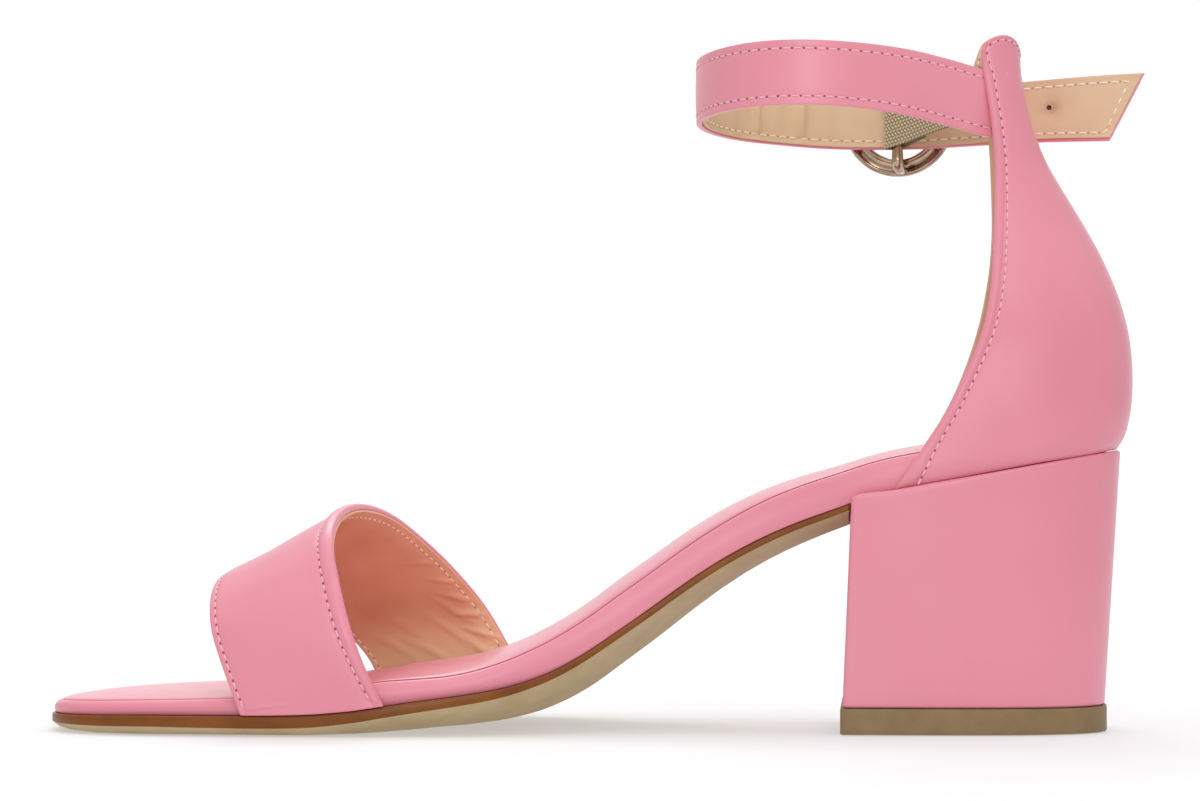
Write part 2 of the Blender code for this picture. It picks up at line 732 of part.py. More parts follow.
def main():
    for old in list(bpy.data.objects):
        bpy.data.objects.remove(old)
    pink = material("pink_leather", PINK, 0.45)
    tan = material("outsole_tan", TAN, 0.6)
    lift_tan = material("lift_tan", LIFT_TAN, 0.55)
    webbing = material("elastic_webbing", WEBBING, 0.85)
    nickel = material("pale_nickel", NICKEL, 0.25, 1.0)

    outsole(tan)
    footbed(pink)
    sock(pink)
    heel_block(pink)
    top_lift(lift_tan)
    vamp_band(pink)
    strap = combine(ankle_strap(pink), prong_hole(pink), "DIFFERENCE")
    combine(heel_counter(pink), strap, "UNION")
    buckle_frame(nickel)
    buckle_prong(nickel)
    elastic_tab(webbing)


main()
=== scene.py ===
# Heeled ankle-strap sandal for the right foot: the looks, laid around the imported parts.
# Shoe sizes are in millimetres: along from the toe tip, across (inner side below zero), up from the floor.

import math

import bpy
import numpy as np
from mathutils import Matrix, Vector


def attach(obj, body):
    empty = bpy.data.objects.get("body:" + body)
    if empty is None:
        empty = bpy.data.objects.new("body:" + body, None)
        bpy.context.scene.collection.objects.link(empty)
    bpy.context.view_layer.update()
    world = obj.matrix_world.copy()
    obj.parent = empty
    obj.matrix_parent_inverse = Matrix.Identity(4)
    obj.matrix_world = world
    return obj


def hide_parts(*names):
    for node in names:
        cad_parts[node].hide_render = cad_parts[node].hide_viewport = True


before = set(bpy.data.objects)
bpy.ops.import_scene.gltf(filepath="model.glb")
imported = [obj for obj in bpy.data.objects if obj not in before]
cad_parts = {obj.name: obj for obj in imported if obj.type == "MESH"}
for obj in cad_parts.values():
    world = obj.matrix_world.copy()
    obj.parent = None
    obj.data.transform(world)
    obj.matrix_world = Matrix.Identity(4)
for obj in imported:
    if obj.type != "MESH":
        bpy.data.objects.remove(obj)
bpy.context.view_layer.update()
print("frame loaded with", len(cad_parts), "nodes")

scene = bpy.context.scene
scene.view_settings.view_transform = "Standard"

shoe = {
    "stationMiddle": 119.35,
    "widthMiddle": 1.18,
    "counterStart": 183.4,
    "heelEnd": 230.3,
    "heelHalfWidth": 26.0,
    "heelFullness": 3.0,
    "breast": 174.6,
}


# Curves and measures

def toFrame(places):
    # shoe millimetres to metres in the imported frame
    middle = np.array((shoe["stationMiddle"], shoe["widthMiddle"], 0.0))
    return (np.asarray(places, float) - middle) * 0.001


def follow(xs, ys, x):
    # monotone cubic through a table's rows, held level past its ends
    xs = np.asarray(xs, float)
    ys = np.asarray(ys, float)
    step = np.diff(xs)
    rise = np.diff(ys) / step
    slope = np.concatenate([rise[:1], np.zeros(len(rise) - 1), rise[-1:]])
    before = rise[:-1]
    after = rise[1:]
    same = before * after > 0
    slope[1:-1] = np.where(same, 2 * before * after / np.where(same, before + after, 1), 0)
    x = np.clip(x, xs[0], xs[-1])
    i = np.clip(np.searchsorted(xs, x, side="right") - 1, 0, len(xs) - 2)
    t = (x - xs[i]) / step[i]
    start = (2 * t**3 - 3 * t**2 + 1) * ys[i] + (t**3 - 2 * t**2 + t) * step[i] * slope[i]
    end = (3 * t**2 - 2 * t**3) * ys[i + 1] + (t**3 - t**2) * step[i] * slope[i + 1]
    return start + end


def averaged(values, width, step):
    # a bell-shaped average along open rows, with both ends kept
    reach = int(4 * width / step)
    weights = np.exp(-0.5 * (np.arange(-reach, reach + 1) * step / width) ** 2)
    weights /= weights.sum()
    padded = np.pad(values, reach, mode="reflect", reflect_type="odd")
    return np.convolve(padded, weights, mode="valid")


def evened(xs, ys, width):
    # a table drawn as one soft curve
    step = 0.25
    fine = np.arange(xs[0], xs[-1] + step, step)
    soft = averaged(follow(xs, ys, fine), width, step)
    return lambda x: np.interp(x, fine, soft)


def curvesOf(names, rows, width):
    # one soft curve for each column of a table, read by its first column
    return {name: evened(rows[:, 0], rows[:, at], width) for at, name in enumerate(names, 1)}


def arcOf(points):
    steps = np.linalg.norm(np.diff(points, axis=0), axis=1)
    return np.concatenate([[0.0], np.cumsum(steps)])


def resampled(points, count):
    arc = arcOf(points)
    along = np.linspace(0, arc[-1], count)
    return np.stack([np.interp(along, arc, points[:, k]) for k in range(points.shape[1])], 1)


def softened(points, width):
    # an evenly spaced open line, its corners rounded over a width
    step = arcOf(points)[-1] / (len(points) - 1)
    return np.stack([averaged(points[:, k], width, step) for k in range(points.shape[1])], 1)


def evenPath(points, count, width):
    # evenly spaced points on a curve through the given ones, softened over a width
    knots = np.asarray(points, float)
    knots = np.vstack([2 * knots[:1] - knots[1:2], knots, 2 * knots[-1:] - knots[-2:-1]])
    t = np.linspace(0, 1, 40, endpoint=False)[:, None]
    fine = []
    for a, b, c, d in zip(knots, knots[1:], knots[2:], knots[3:]):
        fine.append(0.5 * (2 * b + (c - a) * t + (2 * a - 5 * b + 4 * c - d) * t**2
                           + (3 * b - a - 3 * c + d) * t**3))
    path = resampled(np.vstack(fine + [knots[-2:-1]]), 3000)
    return resampled(softened(path, width), count)


def evenLoop(points, count, width):
    # a closed line, evenly spaced, its corners rounded over a width
    closed = np.vstack([points, points[:1]])
    fine = resampled(closed, 16 * count + 1)[:-1]
    wave = np.fft.fftfreq(len(fine), arcOf(closed)[-1] / len(fine))
    damp = np.exp(-2 * (np.pi * wave * width) ** 2)
    fine = np.real(np.fft.ifft(np.fft.fft(fine, axis=0) * damp[:, None], axis=0))
    return resampled(np.vstack([fine, fine[:1]]), count + 1)[:-1]


def loopNormals(loop):
    # directions out of a closed plan line
    ahead = np.roll(loop, -1, axis=0) - np.roll(loop, 1, axis=0)
    out = np.stack([ahead[:, 1], -ahead[:, 0]], 1)
    out /= np.linalg.norm(out, axis=1)[:, None]
    if np.mean(np.sum((loop - loop.mean(0)) * out, 1)) < 0:
        out = -out
    return out


def superellipse(x, fullness):
    return np.maximum(0.0, 1 - np.clip(x, 0, 1) ** fullness) ** (1 / fullness)


def smoothStep(x):
    x = np.clip(x, 0, 1)
    return x * x * (3 - 2 * x)


def bell(x, width):
    return np.exp(-0.5 * (x / width) ** 2)


# Making and finishing pieces

sharpAngle = {"rim": math.radians(25), "cut": math.radians(55), "shade": math.radians(50)}


def pickOnly(piece):
    bpy.ops.object.select_all(action="DESELECT")
    piece.select_set(True)
    bpy.context.view_layer.objects.active = piece


def newShape(add, **sizes):
    # a primitive of its own, with nothing else picked
    bpy.ops.object.select_all(action="DESELECT")
    add(**sizes)
    return bpy.context.object


def stretch(shape, amounts):
    # drawn out about the middle in edit mode
    pickOnly(shape)
    bpy.ops.object.mode_set(mode="EDIT")
    bpy.ops.mesh.select_all(action="SELECT")
    bpy.ops.transform.resize(value=amounts, center_override=(0, 0, 0))
    bpy.ops.object.mode_set(mode="OBJECT")


def layGrid(name, places, finish, notes=None):
    # a grid primitive whose points are laid where the shoe's surface runs
    rows, columns = places.shape[:2]
    steps = {"x_subdivisions": columns - 1, "y_subdivisions": rows - 1}
    piece = newShape(bpy.ops.mesh.primitive_grid_add, size=0.1, **steps)
    piece.name = name
    piece.data.name = name
    piece.data.vertices.foreach_set("co", toFrame(places).astype(np.float32).ravel())
    piece.data.materials.append(finish)
    for note, values in (notes or {}).items():
        layer = piece.data.attributes.new(note, "FLOAT", "POINT")
        layer.data.foreach_set("value", np.asarray(values, np.float32).ravel())
    piece.data.update()
    return piece


def gridNormals(places):
    along = np.gradient(places, axis=1)
    upward = np.gradient(places, axis=0)
    out = np.cross(along, upward)
    return out / np.maximum(1e-9, np.linalg.norm(out, axis=2))[..., None]


def turnOut(places, normals, *others):
    # all the rows turned over where the grid's own faces would look inwards
    turned = np.sum(gridNormals(places) * normals) < 0
    return [rows[::-1] if turned else rows for rows in (places, *others)]


def closeMesh(piece):
    # seams and poles merged, faces turned outwards
    pickOnly(piece)
    bpy.ops.object.mode_set(mode="EDIT")
    bpy.ops.mesh.select_all(action="SELECT")
    bpy.ops.mesh.remove_doubles(threshold=2e-6)
    bpy.ops.mesh.dissolve_degenerate(threshold=1e-6)
    bpy.ops.mesh.normals_make_consistent(inside=False)
    bpy.ops.object.mode_set(mode="OBJECT")
    bpy.ops.object.shade_smooth()
    return piece


def rimPoints(mesh):
    # which points lie on a sheet's open edges
    edgeOf = np.zeros(len(mesh.loops), int)
    mesh.loops.foreach_get("edge_index", edgeOf)
    ends = np.zeros(2 * len(mesh.edges), int)
    mesh.edges.foreach_get("vertices", ends)
    alone = np.bincount(edgeOf, minlength=len(mesh.edges)) == 1
    onRim = np.zeros(len(mesh.vertices), bool)
    onRim[ends.reshape(-1, 2)[alone].ravel()] = True
    return onRim


def layHidden(piece, places):
    # a sheet's second face laid smooth, without the relief of the outer one
    spots = np.zeros(3 * len(piece.data.vertices), np.float32)
    piece.data.vertices.foreach_get("co", spots)
    spots[-places.size:] = toFrame(places).ravel()
    piece.data.vertices.foreach_set("co", spots)
    piece.data.update()


def roundRim(piece, onRim, rounding, segments):
    # a sheet's own cut edges, picked by their place
    bpy.ops.object.mode_set(mode="EDIT")
    bpy.ops.mesh.select_mode(type="EDGE")
    bpy.ops.mesh.select_all(action="DESELECT")
    bpy.ops.mesh.edges_select_sharp(sharpness=sharpAngle["rim"])
    bpy.ops.object.mode_set(mode="OBJECT")
    for edge in piece.data.edges:
        edge.select = edge.select and all(onRim[point % len(onRim)] for point in edge.vertices)
    bpy.ops.object.mode_set(mode="EDIT")
    bpy.ops.mesh.bevel(offset=rounding * 0.001, segments=segments, affect="EDGES", clamp_overlap=False)
    bpy.ops.mesh.select_mode(type="VERT")
    bpy.ops.object.mode_set(mode="OBJECT")


def roundSharp(piece, rounding, segments):
    # every sharp edge, as far as the faces beside it leave room
    edge = piece.modifiers.new("edge", "BEVEL")
    edge.width = rounding * 0.001
    edge.segments = segments
    edge.limit_method = "ANGLE"
    edge.angle_limit = sharpAngle["cut"]
    bpy.ops.object.modifier_apply(modifier="edge")


def thicken(piece, wall, rounding, segments=3, hidden=None):
    # leather thickness under the laid face, then rounded cut edges
    pickOnly(piece)
    onRim = rimPoints(piece.data)
    solid = piece.modifiers.new("wall", "SOLIDIFY")
    solid.thickness = wall * 0.001
    solid.offset = -1
    solid.use_even_offset = True
    bpy.ops.object.modifier_apply(modifier="wall")
    if hidden is None:
        roundSharp(piece, rounding, segments)
    else:
        layHidden(piece, hidden)
        roundRim(piece, onRim, rounding, segments)
    bpy.ops.object.shade_smooth_by_angle(angle=sharpAngle["shade"])


def cutAway(piece, cutter):
    pickOnly(piece)
    hole = piece.modifiers.new("hole", "BOOLEAN")
    hole.operation = "DIFFERENCE"
    hole.solver = "EXACT"
    hole.material_mode = "TRANSFER"
    hole.object = cutter
    bpy.ops.object.modifier_apply(modifier="hole")


def joinAll(name, pieces):
    bpy.ops.object.select_all(action="DESELECT")
    for piece in pieces:
        piece.select_set(True)
    bpy.context.view_layer.objects.active = pieces[0]
    if len(pieces) > 1:
        bpy.ops.object.join()
    joined = bpy.context.object
    joined.name = name
    joined.data.name = name
    return joined


def seat(piece, slotName, *nodes):
    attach(piece, "root")
    if nodes:
        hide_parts(*nodes)


# Finishes

def tint(red, green, blue):
    channels = [c / 255 for c in (red, green, blue)]
    return tuple(c / 12.92 if c <= 0.04045 else ((c + 0.055) / 1.055) ** 2.4 for c in channels) + (1.0,)


def newFinish(name, settings):
    finish = bpy.data.materials.new(name)
    finish.use_nodes = True
    shader = finish.node_tree.nodes["Principled BSDF"]
    for socket, value in settings.items():
        shader.inputs[socket].default_value = value
    return finish, finish.node_tree, shader


def addNode(tree, kind, settings=None, **links):
    node = tree.nodes.new("ShaderNode" + kind)
    for socket, value in (settings or {}).items():
        if isinstance(socket, str) and hasattr(node, socket):
            setattr(node, socket, value)
        else:
            node.inputs[socket].default_value = value
    for socket, source in links.items():
        tree.links.new(source, node.inputs[socket.replace("_", " ")])
    return node


def onPiece(tree):
    return addNode(tree, "TexCoord").outputs["Object"]


def noteOf(tree, name):
    # a value kept on the piece's own points
    return addNode(tree, "Attribute", {"attribute_name": name}).outputs["Fac"]


def noiseNode(tree, place, sizeMm, detail=3.0, roughness=0.5):
    settings = {"Scale": 1000 / sizeMm, "Detail": detail, "Roughness": roughness}
    return addNode(tree, "TexNoise", settings, Vector=place).outputs["Fac"]


def streakNode(tree, place, look):
    # fine noise drawn out round the piece
    drawn = addNode(tree, "Mapping", {"Scale": look["stretch"]}, Vector=place)
    settings = {"Scale": look["fineness"], "Detail": 3.0}
    return addNode(tree, "TexNoise", settings, Vector=drawn.outputs["Vector"]).outputs["Fac"]


def rampNode(tree, factor, stops):
    ramp = addNode(tree, "ValToRGB", None, Fac=factor)
    ramp.color_ramp.elements[0].position = stops[0][0]
    ramp.color_ramp.elements[0].color = stops[0][1]
    ramp.color_ramp.elements[1].position = stops[-1][0]
    ramp.color_ramp.elements[1].color = stops[-1][1]
    for position, colour in stops[1:-1]:
        ramp.color_ramp.elements.new(position).color = colour
    return ramp


def twoTone(tree, factor, look):
    # a colour that drifts between a deep and a light tint
    return rampNode(tree, factor, ((0.3, look["deep"]), (0.7, look["light"]))).outputs["Color"]


def spread(tree, factor, low, high):
    settings = {"From Min": 0.3, "From Max": 0.7, "To Min": low, "To Max": high}
    return addNode(tree, "MapRange", settings, Value=factor).outputs["Result"]


def bumpNode(tree, height, strength, depthMm, **links):
    settings = {"Strength": strength, "Distance": depthMm * 0.001}
    return addNode(tree, "Bump", settings, Height=height, **links).outputs["Normal"]


def dress(tree, shader, colour, roughness, normal):
    for source, socket in ((colour, "Base Color"), (roughness, "Roughness"), (normal, "Normal")):
        tree.links.new(source, shader.inputs[socket])


# a colour mix names several sockets alike, so they are picked by number
mixSocket = {"factor": 0, "under": 6, "over": 7, "result": 2}


def leatherFinish(name, look):
    finish, tree, shader = newFinish(name, {
        "Specular IOR Level": look["gloss"],
        "Coat Weight": look["coat"],
        "Coat Roughness": look["coatRoughness"],
    })
    place = onPiece(tree)
    colour = twoTone(tree, noiseNode(tree, place, look["cloudSize"], 2.0), look)
    # a tint mixed in by a value kept on the piece's points: painted shade in the sock's seam, painted light
    # on the toe band's lining, a darker patch round the strap's holes
    if "seam" in look:
        mixed = addNode(tree, "Mix", {"data_type": "RGBA", mixSocket["over"]: look["seam"]})
        tree.links.new(noteOf(tree, "seamShade"), mixed.inputs[mixSocket["factor"]])
        tree.links.new(colour, mixed.inputs[mixSocket["under"]])
        colour = mixed.outputs[mixSocket["result"]]
    rub = noiseNode(tree, place, look["rubSize"], 4.0, 0.6)
    cells = {"Scale": 1000 / look["grainSize"], "feature": "SMOOTH_F1"}
    pebble = addNode(tree, "TexVoronoi", cells, Vector=place)
    pores = noiseNode(tree, place, look["grainSize"] * 0.5, 2.0)
    coarse = bumpNode(tree, pebble.outputs["Distance"], look["grain"], 0.06)
    fine = bumpNode(tree, pores, look["grain"] * 0.5, 0.04, Normal=coarse)
    dress(tree, shader, colour, spread(tree, rub, *look["roughness"]), fine)
    return finish


pinkLook = {
    "deep": tint(218, 129, 146),
    "light": tint(224, 137, 154),
    "cloudSize": 38.0,
    "rubSize": 9.0,
    "roughness": (0.40, 0.50),
    "gloss": 0.5,
    "coat": 0.3,
    "coatRoughness": 0.28,
    "grainSize": 0.45,
    "grain": 0.10,
}
liningLook = {
    "deep": tint(215, 184, 147),
    "light": tint(226, 198, 163),
    "cloudSize": 14.0,
    "rubSize": 5.0,
    "roughness": (0.50, 0.62),
    "gloss": 0.35,
    "coat": 0.03,
    "coatRoughness": 0.4,
    "grainSize": 0.5,
    "grain": 0.14,
    # the darker tint mixed in a little along and above each of the strap's holes
    "seam": tint(150, 104, 76),
}
# the sock's seam tint is painted shade, mixed in along its cut edge
sockLook = dict(pinkLook, roughness=(0.34, 0.44), coat=0.24, coatRoughness=0.14, seam=tint(150, 48, 70))
# the strap's pink is the same leather painted lighter, as painted light for the light the strap catches
strapLitLook = dict(pinkLook, deep=tint(225, 137, 153), light=tint(232, 147, 163))
# the toe band's lining is the same lining leather warmed, as painted light for the pink light bounced inside
# the band; its mixed tint is painted light, paler where light reaches
pinkBounceLook = dict(liningLook, deep=tint(212, 158, 118), light=tint(224, 174, 136), seam=tint(236, 204, 160))
pinkLeather = leatherFinish("pinkLeather", pinkLook)
strapLitPink = leatherFinish("strapLitPink", strapLitLook)
sockLeather = leatherFinish("sockLeather", sockLook)
liningLeather = leatherFinish("liningLeather", liningLook)
pinkBounceLining = leatherFinish("pinkBounceLining", pinkBounceLook)


def soleFinish(name, look):
    # painted upright edge, plain matt underside
    finish, tree, shader = newFinish(name, {"Specular IOR Level": look["gloss"]})
    place = onPiece(tree)
    paint = noteOf(tree, "edgePaint")
    cloud = noiseNode(tree, place, look["cloudSize"], 4.0, 0.6)
    both = addNode(tree, "Mix", {"data_type": "RGBA"})
    tree.links.new(paint, both.inputs[mixSocket["factor"]])
    tree.links.new(twoTone(tree, cloud, look["under"]), both.inputs[mixSocket["under"]])
    tree.links.new(twoTone(tree, cloud, look["edge"]), both.inputs[mixSocket["over"]])
    ends = {"To Min": look["underRough"], "To Max": look["edgeRough"]}
    rough = addNode(tree, "MapRange", ends, Value=paint)
    normal = bumpNode(tree, streakNode(tree, place, look), look["bump"], 0.08)
    dress(tree, shader, both.outputs[mixSocket["result"]], rough.outputs["Result"], normal)
    return finish


paintedSole = soleFinish("paintedSole", {
    "edge": {"deep": tint(110, 56, 8), "light": tint(132, 76, 18)},
    "under": {"deep": tint(184, 160, 120), "light": tint(198, 177, 139)},
    "edgeRough": 0.36,
    "underRough": 0.62,
    "gloss": 0.28,
    "cloudSize": 11.0,
    "stretch": (0.25, 0.25, 1.6),
    "fineness": 2400.0,
    "bump": 0.22,
})


def liftFinish(name, look):
    finish, tree, shader = newFinish(name, {"Specular IOR Level": look["gloss"]})
    place = onPiece(tree)
    cloud = noiseNode(tree, place, look["cloudSize"], 5.0, 0.6)
    normal = bumpNode(tree, streakNode(tree, place, look), look["bump"], 0.08)
    dress(tree, shader, twoTone(tree, cloud, look), spread(tree, cloud, *look["roughness"]), normal)
    return finish


mouldedLift = liftFinish("mouldedLift", {
    "deep": tint(124, 100, 66),
    "light": tint(138, 114, 80),
    "roughness": (0.5, 0.64),
    "gloss": 0.35,
    "cloudSize": 7.0,
    "stretch": (0.3, 0.3, 2.0),
    "fineness": 1900.0,
    "bump": 0.25,
})


def metalFinish(name, look):
    finish, tree, shader = newFinish(name, {"Metallic": 1.0})
    place = onPiece(tree)
    colour = twoTone(tree, noiseNode(tree, place, look["cloudSize"], 3.0), look)
    fine = noiseNode(tree, place, look["fineSize"], 4.0, 0.65)
    roughness = spread(tree, fine, *look["roughness"])
    dress(tree, shader, colour, roughness, bumpNode(tree, fine, look["bump"], 0.05))
    return finish


paleNickel = metalFinish("paleNickel", {
    "deep": tint(158, 137, 117),
    "light": tint(198, 180, 158),
    "roughness": (0.10, 0.20),
    "cloudSize": 3.5,
    "fineSize": 0.9,
    "bump": 0.12,
})


def webbingFinish(name, look):
    settings = {"Specular IOR Level": look["gloss"], "Sheen Weight": look["sheen"]}
    finish, tree, shader = newFinish(name, settings)
    # the yarn colour follows the weave's height: painted shade in the gaps, a painted highlight on the crowns
    stops = ((0.05, look["gap"]), (0.45, look["yarn"]), (0.95, look["crown"]))
    colour = rampNode(tree, noteOf(tree, "weave"), stops).outputs["Color"]
    fuzz = noiseNode(tree, onPiece(tree), look["fuzzSize"], 3.0)
    roughness = spread(tree, fuzz, *look["roughness"])
    dress(tree, shader, colour, roughness, bumpNode(tree, fuzz, look["bump"], 0.05))
    return finish


wovenElastic = webbingFinish("wovenElastic", {
    "gap": tint(112, 91, 64),
    "yarn": tint(182, 165, 130),
    "crown": tint(222, 212, 184),
    "roughness": (0.55, 0.8),
    "gloss": 0.3,
    "sheen": 0.25,
    "fuzzSize": 0.25,
    "bump": 0.3,
})

threadLook = {"roughness": (0.5, 0.7), "gloss": 0.35, "sheen": 0.2, "twistSize": 0.3, "bump": 0.3}


def threadFinish(name, deep, light):
    look = dict(threadLook, deep=deep, light=light)
    settings = {"Specular IOR Level": look["gloss"], "Sheen Weight": look["sheen"]}
    finish, tree, shader = newFinish(name, settings)
    twist = noiseNode(tree, onPiece(tree), look["twistSize"], 2.0)
    roughness = spread(tree, twist, *look["roughness"])
    dress(tree, shader, twoTone(tree, twist, look), roughness, bumpNode(tree, twist, look["bump"], 0.05))
    return finish


paleThread = threadFinish("paleThread", tint(228, 172, 182), tint(240, 196, 203))
creamThread = threadFinish("creamThread", tint(240, 224, 204), tint(250, 240, 226))
# dark discs at the needle holes: painted shade where the holes are
needleHoleShade = threadFinish("needleHoleShade", tint(160, 62, 80), tint(180, 76, 92))
liningHoleShade = threadFinish("liningHoleShade", tint(180, 142, 102), tint(194, 156, 116))
# the faces cut in the strap's punched holes: painted shade inside them
punchedHoleShade = threadFinish("punchedHoleShade", tint(150, 86, 80), tint(168, 100, 92))
print("finishes made")


# Sole plan and heights by station, as on the solids, with the painted edge drawn finer

outline = {"toeRun": 30.0, "toePoints": 60, "sidePoints": 220, "heelPoints": 160, "spinePitch": 2.0}
# station, inner edge, outer edge
outlineRows = np.array((
    (0.0, -8.5, -1.5), (0.4, -13.5, 3.2), (1.2, -18.4, 7.8), (2.8, -23.4, 12.7), (5.5, -27.8, 17.7),
    (9.0, -31.0, 22.2), (15.0, -34.2, 27.8), (25.0, -36.8, 33.2), (40.0, -38.3, 37.5), (55.0, -39.0, 40.0),
    (70.0, -39.0, 41.3), (85.0, -37.5, 41.5), (100.0, -34.5, 40.3), (120.0, -29.0, 36.3),
    (140.0, -25.6, 31.5), (160.0, -24.6, 28.0), (175.0, -25.5, 26.3), (183.4, -26.0, 26.0),
))
# station, then the columns that soleCurves names
soleRows = np.array((
    (0.0, 3.6, 1.8, 0.4, 0.4, 2.7, 1.2), (8.0, 3.8, 2.0, 1.5, 1.0, 2.9, 1.5),
    (15.0, 3.9, 2.1, 1.8, 1.5, 3.0, 1.6), (25.0, 4.1, 2.2, 1.9, 1.8, 3.1, 1.6),
    (45.0, 4.2, 2.5, 1.7, 2.0, 3.6, 1.7), (58.0, 4.4, 2.6, 1.9, 2.0, 4.3, 1.5),
    (69.0, 5.2, 2.4, 2.9, 2.0, 5.1, 1.5), (75.0, 6.1, 2.3, 3.6, 2.0, 5.2, 1.6),
    (80.0, 6.8, 2.2, 4.2, 2.0, 4.85, 2.0), (86.0, 7.6, 2.1, 4.7, 2.0, 4.45, 2.5),
    (90.0, 8.1, 2.0, 5.1, 1.9, 4.35, 2.7), (100.0, 9.7, 1.85, 5.85, 1.5, 5.3, 3.1),
    (108.0, 12.0, 1.65, 6.25, 0.8, 6.4, 3.5), (116.0, 15.9, 1.65, 6.15, 0.2, 7.0, 3.9),
    (124.0, 21.3, 1.75, 5.65, -0.2, 7.3, 4.2), (132.0, 26.9, 1.8, 5.3, -0.4, 7.4, 4.1),
    (140.0, 32.7, 1.8, 4.8, -0.5, 7.4, 3.9), (148.0, 37.8, 1.75, 4.15, -0.5, 7.4, 3.4),
    (156.0, 42.0, 1.65, 3.65, -0.5, 7.5, 2.8), (164.0, 45.4, 1.5, 3.4, -0.5, 7.4, 2.3),
    (172.0, 48.2, 1.45, 3.05, -0.5, 7.2, 1.9), (178.0, 50.4, 1.15, 3.35, -0.5, 7.0, 1.8),
    (183.4, 51.9, 1.15, 3.35, -0.5, 6.9, 1.8), (200.0, 54.9, 1.15, 3.35, -0.5, 6.6, 1.8),
    (215.0, 57.6, 1.15, 3.35, -0.5, 6.2, 1.8), (233.0, 60.8, 1.15, 3.35, -0.5, 6.0, 1.8),
))
soleCurves = curvesOf(("base", "edge", "drop", "margin", "footbed", "crown"), soleRows, 2.0)


def soleAt(name, station):
    return soleCurves[name](station)


def edgeAt(side, station):
    # y of the footbed's edge, with the rounded heel behind the counter's start
    sign = 1 if side == "lateral" else -1
    plain = follow(outlineRows[:, 0], outlineRows[:, 2 if side == "lateral" else 1], station)
    length = shoe["heelEnd"] - shoe["counterStart"]
    share = (np.asarray(station, float) - shoe["counterStart"]) / length
    rounded = sign * shoe["heelHalfWidth"] * superellipse(share, shoe["heelFullness"])
    return np.where(share > 0, rounded, plain)


def middleAt(station):
    return (edgeAt("medial", station) + edgeAt("lateral", station)) / 2


def soleOutline(lastStation=None):
    # plan points from the toe tip down the inner side, round the heel and back
    toe = np.linspace(0, 1, outline["toePoints"]) ** 2 * outline["toeRun"]
    straight = np.linspace(outline["toeRun"], shoe["counterStart"], outline["sidePoints"])
    side = np.concatenate([toe, straight[1:]])
    if lastStation is None:
        turn = np.linspace(0, math.pi / 2, outline["heelPoints"])[1:-1]
        power = 2 / shoe["heelFullness"]
        heel = shoe["counterStart"] + (shoe["heelEnd"] - shoe["counterStart"]) * np.sin(turn) ** power
        half = shoe["heelHalfWidth"] * np.cos(turn) ** power
    else:
        side = np.append(side[side < lastStation], lastStation)
        heel = np.zeros(0)
        half = np.zeros(0)
    medial = np.stack([np.append(side, heel), np.append(edgeAt("medial", side), -half)], 1)
    lateral = np.stack([np.append(side, heel), np.append(edgeAt("lateral", side), half)], 1)
    return np.vstack([medial, lateral[::-1]])


def drawnIn(loop, spine, share):
    # a ring drawn towards the spine, its two sides meeting on the same points there
    if share == 0:
        station = np.round(spine[:, 0] / outline["spinePitch"]) * outline["spinePitch"]
        return np.stack([station, middleAt(station)], 1)
    return spine + (loop - spine) * share


def plan(loop, out, spine, inset, share=1.0):
    # a ring in plan, moved in from the edge and then drawn in
    return drawnIn(loop - out * np.reshape(inset, (-1, 1)), spine, share)


def spineOf(loop, first, last):
    station = np.clip(loop[:, 0], first, last)
    return np.stack([station, middleAt(station)], 1)


def stackRings(rings):
    # rings of (station, y, z) as grid rows, each closed on its first point
    return np.stack([np.vstack([ring, ring[:1]]) for ring in rings])


def lifted(ring, z):
    return np.column_stack([ring, np.broadcast_to(z, len(ring))])


# Footbed: insole board in a leather wrap, its rand rounded over and sunk where the sock lies

rand = {
    "count": 460,
    "corner": 1.6,
    "spine": (36.0, 203.0),
    "under": 3.0,
    "turn": 1.75,
    "foot": 0.03,
    "footTurn": 0.4,
    "bulgeStart": 0.4,
    "bulgeDip": 1.1,
    "ledge": 2.6,
    "rebate": 0.7,
}
footLoop = evenLoop(soleOutline(), rand["count"], rand["corner"])
footOut = loopNormals(footLoop)
footSpine = spineOf(footLoop, *rand["spine"])


def footRing(inset, share, rise):
    # rise is a function of the wrap's own height at each point
    ring = plan(footLoop, footOut, footSpine, inset, share)
    high = soleAt("footbed", ring[:, 0])
    return lifted(ring, soleAt("base", ring[:, 0]) + rise(high))


def shoulder(high, angle):
    # the side bulges low down and rounds over towards the top
    start = rand["bulgeStart"] * high
    if angle > 0:
        return start + (high - start) * math.sin(angle)
    return start * (1 + rand["bulgeDip"] * math.sin(angle))


randRings = []
for share in (0.0, 0.35, 0.7, 1.0):
    randRings.append(footRing(rand["under"], share, lambda high: rand["foot"] + 0 * high))
for inset, up in ((1.0, 0.0), (0.62, 0.02), (0.4, 0.06)):
    randRings.append(footRing(inset, 1.0, lambda high, up=up: rand["foot"] + up + 0 * high))
for angle in np.radians(np.linspace(-58, 90, 19)):
    inset = rand["turn"] * (1 - math.cos(angle)) * (1.0 if angle > 0 else rand["footTurn"])
    randRings.append(footRing(inset, 1.0, lambda high, angle=angle: shoulder(high, angle)))
rebateRows = [(1.82, 0.04), (1.89, 0.17), (1.93, 0.42)]
for inset, down in rebateRows + [(1.95, rand["rebate"]), (rand["ledge"], rand["rebate"])]:
    randRings.append(footRing(inset, 1.0, lambda high, down=down: high - down))
for share in (0.7, 0.35, 0.0):
    randRings.append(footRing(rand["ledge"], share, lambda high: high - rand["rebate"]))
wrappedFootbed = closeMesh(layGrid("wrappedFootbed", stackRings(randRings), pinkLeather))
seat(wrappedFootbed, "pink_leather", "footbed")
print("footbed done")


# Sock: crowned pad set inside the rand, its edge tucked into the seam

